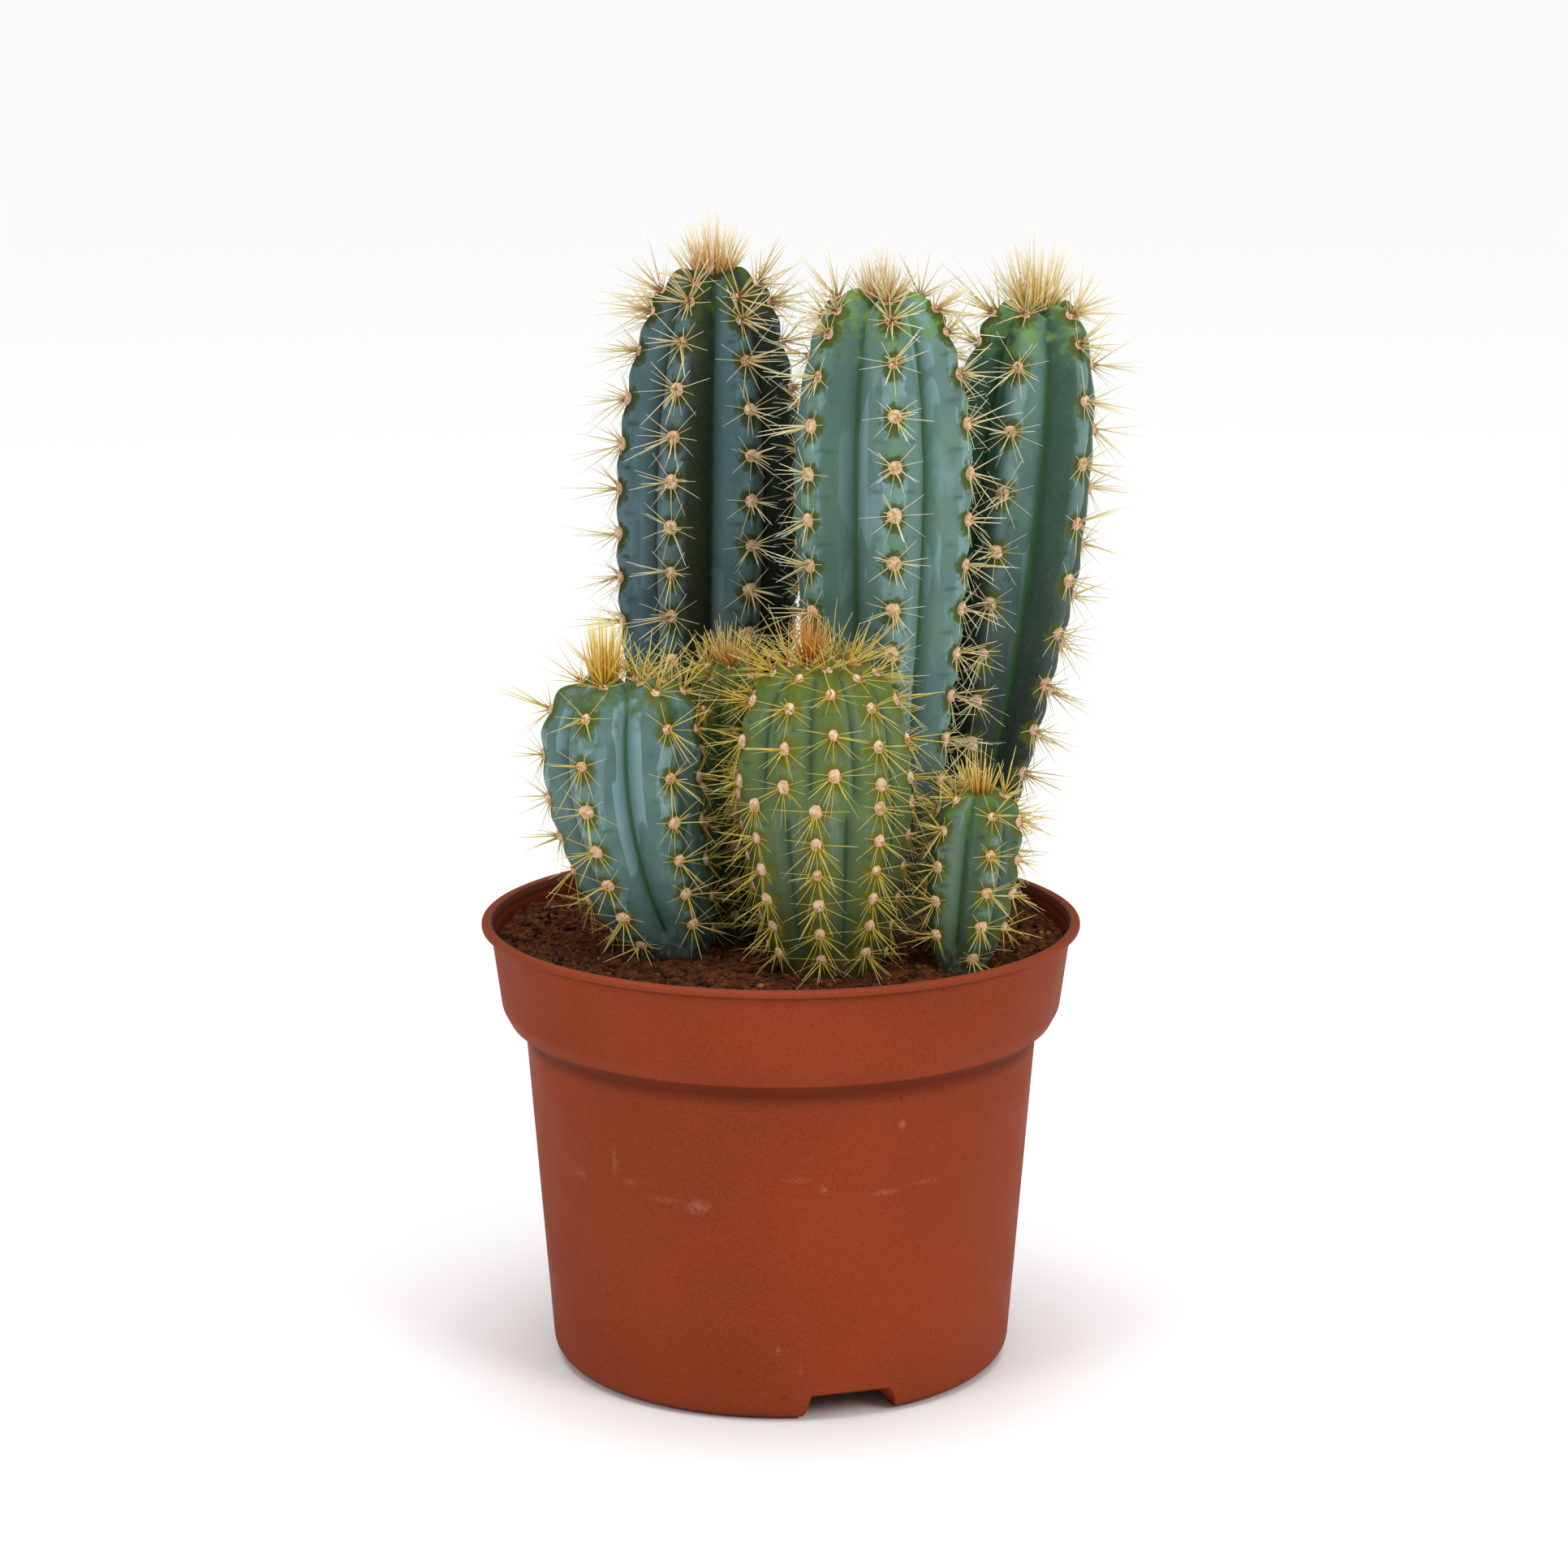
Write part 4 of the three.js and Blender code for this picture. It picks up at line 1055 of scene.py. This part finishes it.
def soil():
    """Peat that fills the pot, its top broken into clods"""
    top = [(SOIL_EDGE * (1 - k / SOIL_RINGS), SOIL_LEVEL) for k in range(SOIL_RINGS + 1)]
    bm = turned([(0, SOIL_WALL[0][1]), *SOIL_WALL, *top], SOIL_STEPS)
    for corner in bm.verts:
        if corner.co.z > SOIL_LEVEL - 1:
            x, y = corner.co.x, corner.co.y
            corner.co.z += soil_height(x, y) - SOIL_PIT_DEPTH * pit_share(x, y)
    finished("peat_fill", bm, peat_finish(), "soil")


def loose_peat():
    """Crumbs and fibres lying on the soil between the stems"""
    draw = random.Random(SOIL_SEED)
    bits = Copies([lump(1, 0.5, 1.3, (0, seed * 5, 0)) for seed in range(4)], "tone")
    fibres = Copies([needle_shape(bend) for bend in (2, 5, 9)], "tone")

    def open_spot():
        while True:
            radius = (SOIL_EDGE - 1.5) * math.sqrt(draw.random())
            spot = towards(draw.uniform(0, 360), radius)
            if pit_share(spot.x, spot.y) == 0:
                return spot + UP * (SOIL_LEVEL + soil_height(spot.x, spot.y))

    for i in range(CRUMBS):
        size = 0.35 + 1.2 * draw.random() ** 2.6
        tone = draw.random() ** 1.6 * 0.8 if draw.random() < 0.96 else draw.uniform(0.85, 1)
        shape = Matrix.Diagonal((size, size * draw.uniform(0.6, 1), size * draw.uniform(0.45, 0.9), 1))
        turn = Matrix.Rotation(draw.uniform(0, math.tau), 4, "Z") @ Matrix.Rotation(
            draw.uniform(-0.7, 0.7), 4, "X")
        bits.add(i, Matrix.Translation(open_spot() + UP * size * 0.2) @ turn @ shape, tone=tone)
    for i in range(FIBRES):
        direction = towards(draw.uniform(0, 360)) + UP * draw.uniform(-0.05, 0.35)
        length = draw.uniform(*FIBRE_LENGTHS)
        spot = open_spot()
        if math.hypot(*(spot + direction * length).xy) < SOIL_EDGE:
            matrix = needle_matrix(spot, direction.normalized(), length,
                                   draw.uniform(*FIBRE_RADII), draw.uniform(0, math.tau))
            fibres.add(i, matrix, tone=draw.uniform(0.3, 0.95))
    crumbs = crumb_finish()
    finished("peat_crumbs", bits.mesh(), crumbs)
    finished("peat_fibres", fibres.mesh(), crumbs)


# Floor, light and camera

def stage():
    """A pale floor under an even sky"""
    bm = bmesh.new()
    bmesh.ops.create_grid(bm, x_segments=1, y_segments=1, size=FLOOR_REACH)
    floor = placed("floor", mesh_of("floor", bm))
    finish = Finish("pale_floor", 0.9, specular=0.1)
    finish.uniform({"Base Color": tint(FLOOR_TINT)})
    floor.data.materials.append(finish.material)

    world = bpy.data.worlds.new("studio")
    bpy.context.scene.world = world
    world.use_nodes = True
    sky = world.node_tree.nodes["Background"].inputs
    sky["Color"].default_value = (1, 1, 1, 1)
    sky["Strength"].default_value = WORLD_STRENGTH


def lights():
    """Square soft boxes turned to the plant, and a wide skylight from above"""
    for name, place, size, power in SOFTBOXES:
        light = bpy.data.lights.new(name, "AREA")
        light.size = size
        light.energy = power
        box = placed(name, light)
        box.location = place
        box.rotation_euler = (Vector(SOFTBOX_AIM) - Vector(place)).to_track_quat("-Z", "Y").to_euler()
    skylight = bpy.data.lights.new("skylight", "SUN")
    skylight.energy = SKYLIGHT_STRENGTH
    skylight.angle = math.radians(SKYLIGHT_ANGLE)
    placed("skylight", skylight)


def camera():
    lens = bpy.data.cameras.new("camera")
    lens.lens = CAMERA_LENS
    lens.sensor_fit = "HORIZONTAL"
    lens.sensor_width = SENSOR_WIDTH
    eye = placed("camera", lens)
    eye.location = TO_FRAME @ Vector(CAMERA_PLACE)
    eye.rotation_euler = (math.radians(90 - CAMERA_PITCH), 0, 0)
    bpy.context.scene.camera = eye


stems = [Stem(given) for given in STEMS]
pot()
soil()
loose_peat()
wool = wool_finish()
for stem in stems:
    pads = pads_of(stem)
    stem_skin(stem)
    stem_wool(stem, pads, wool)
    stem_spines(stem, pads)
stage()
lights()
camera()
bpy.context.scene.view_settings.view_transform = "Standard"
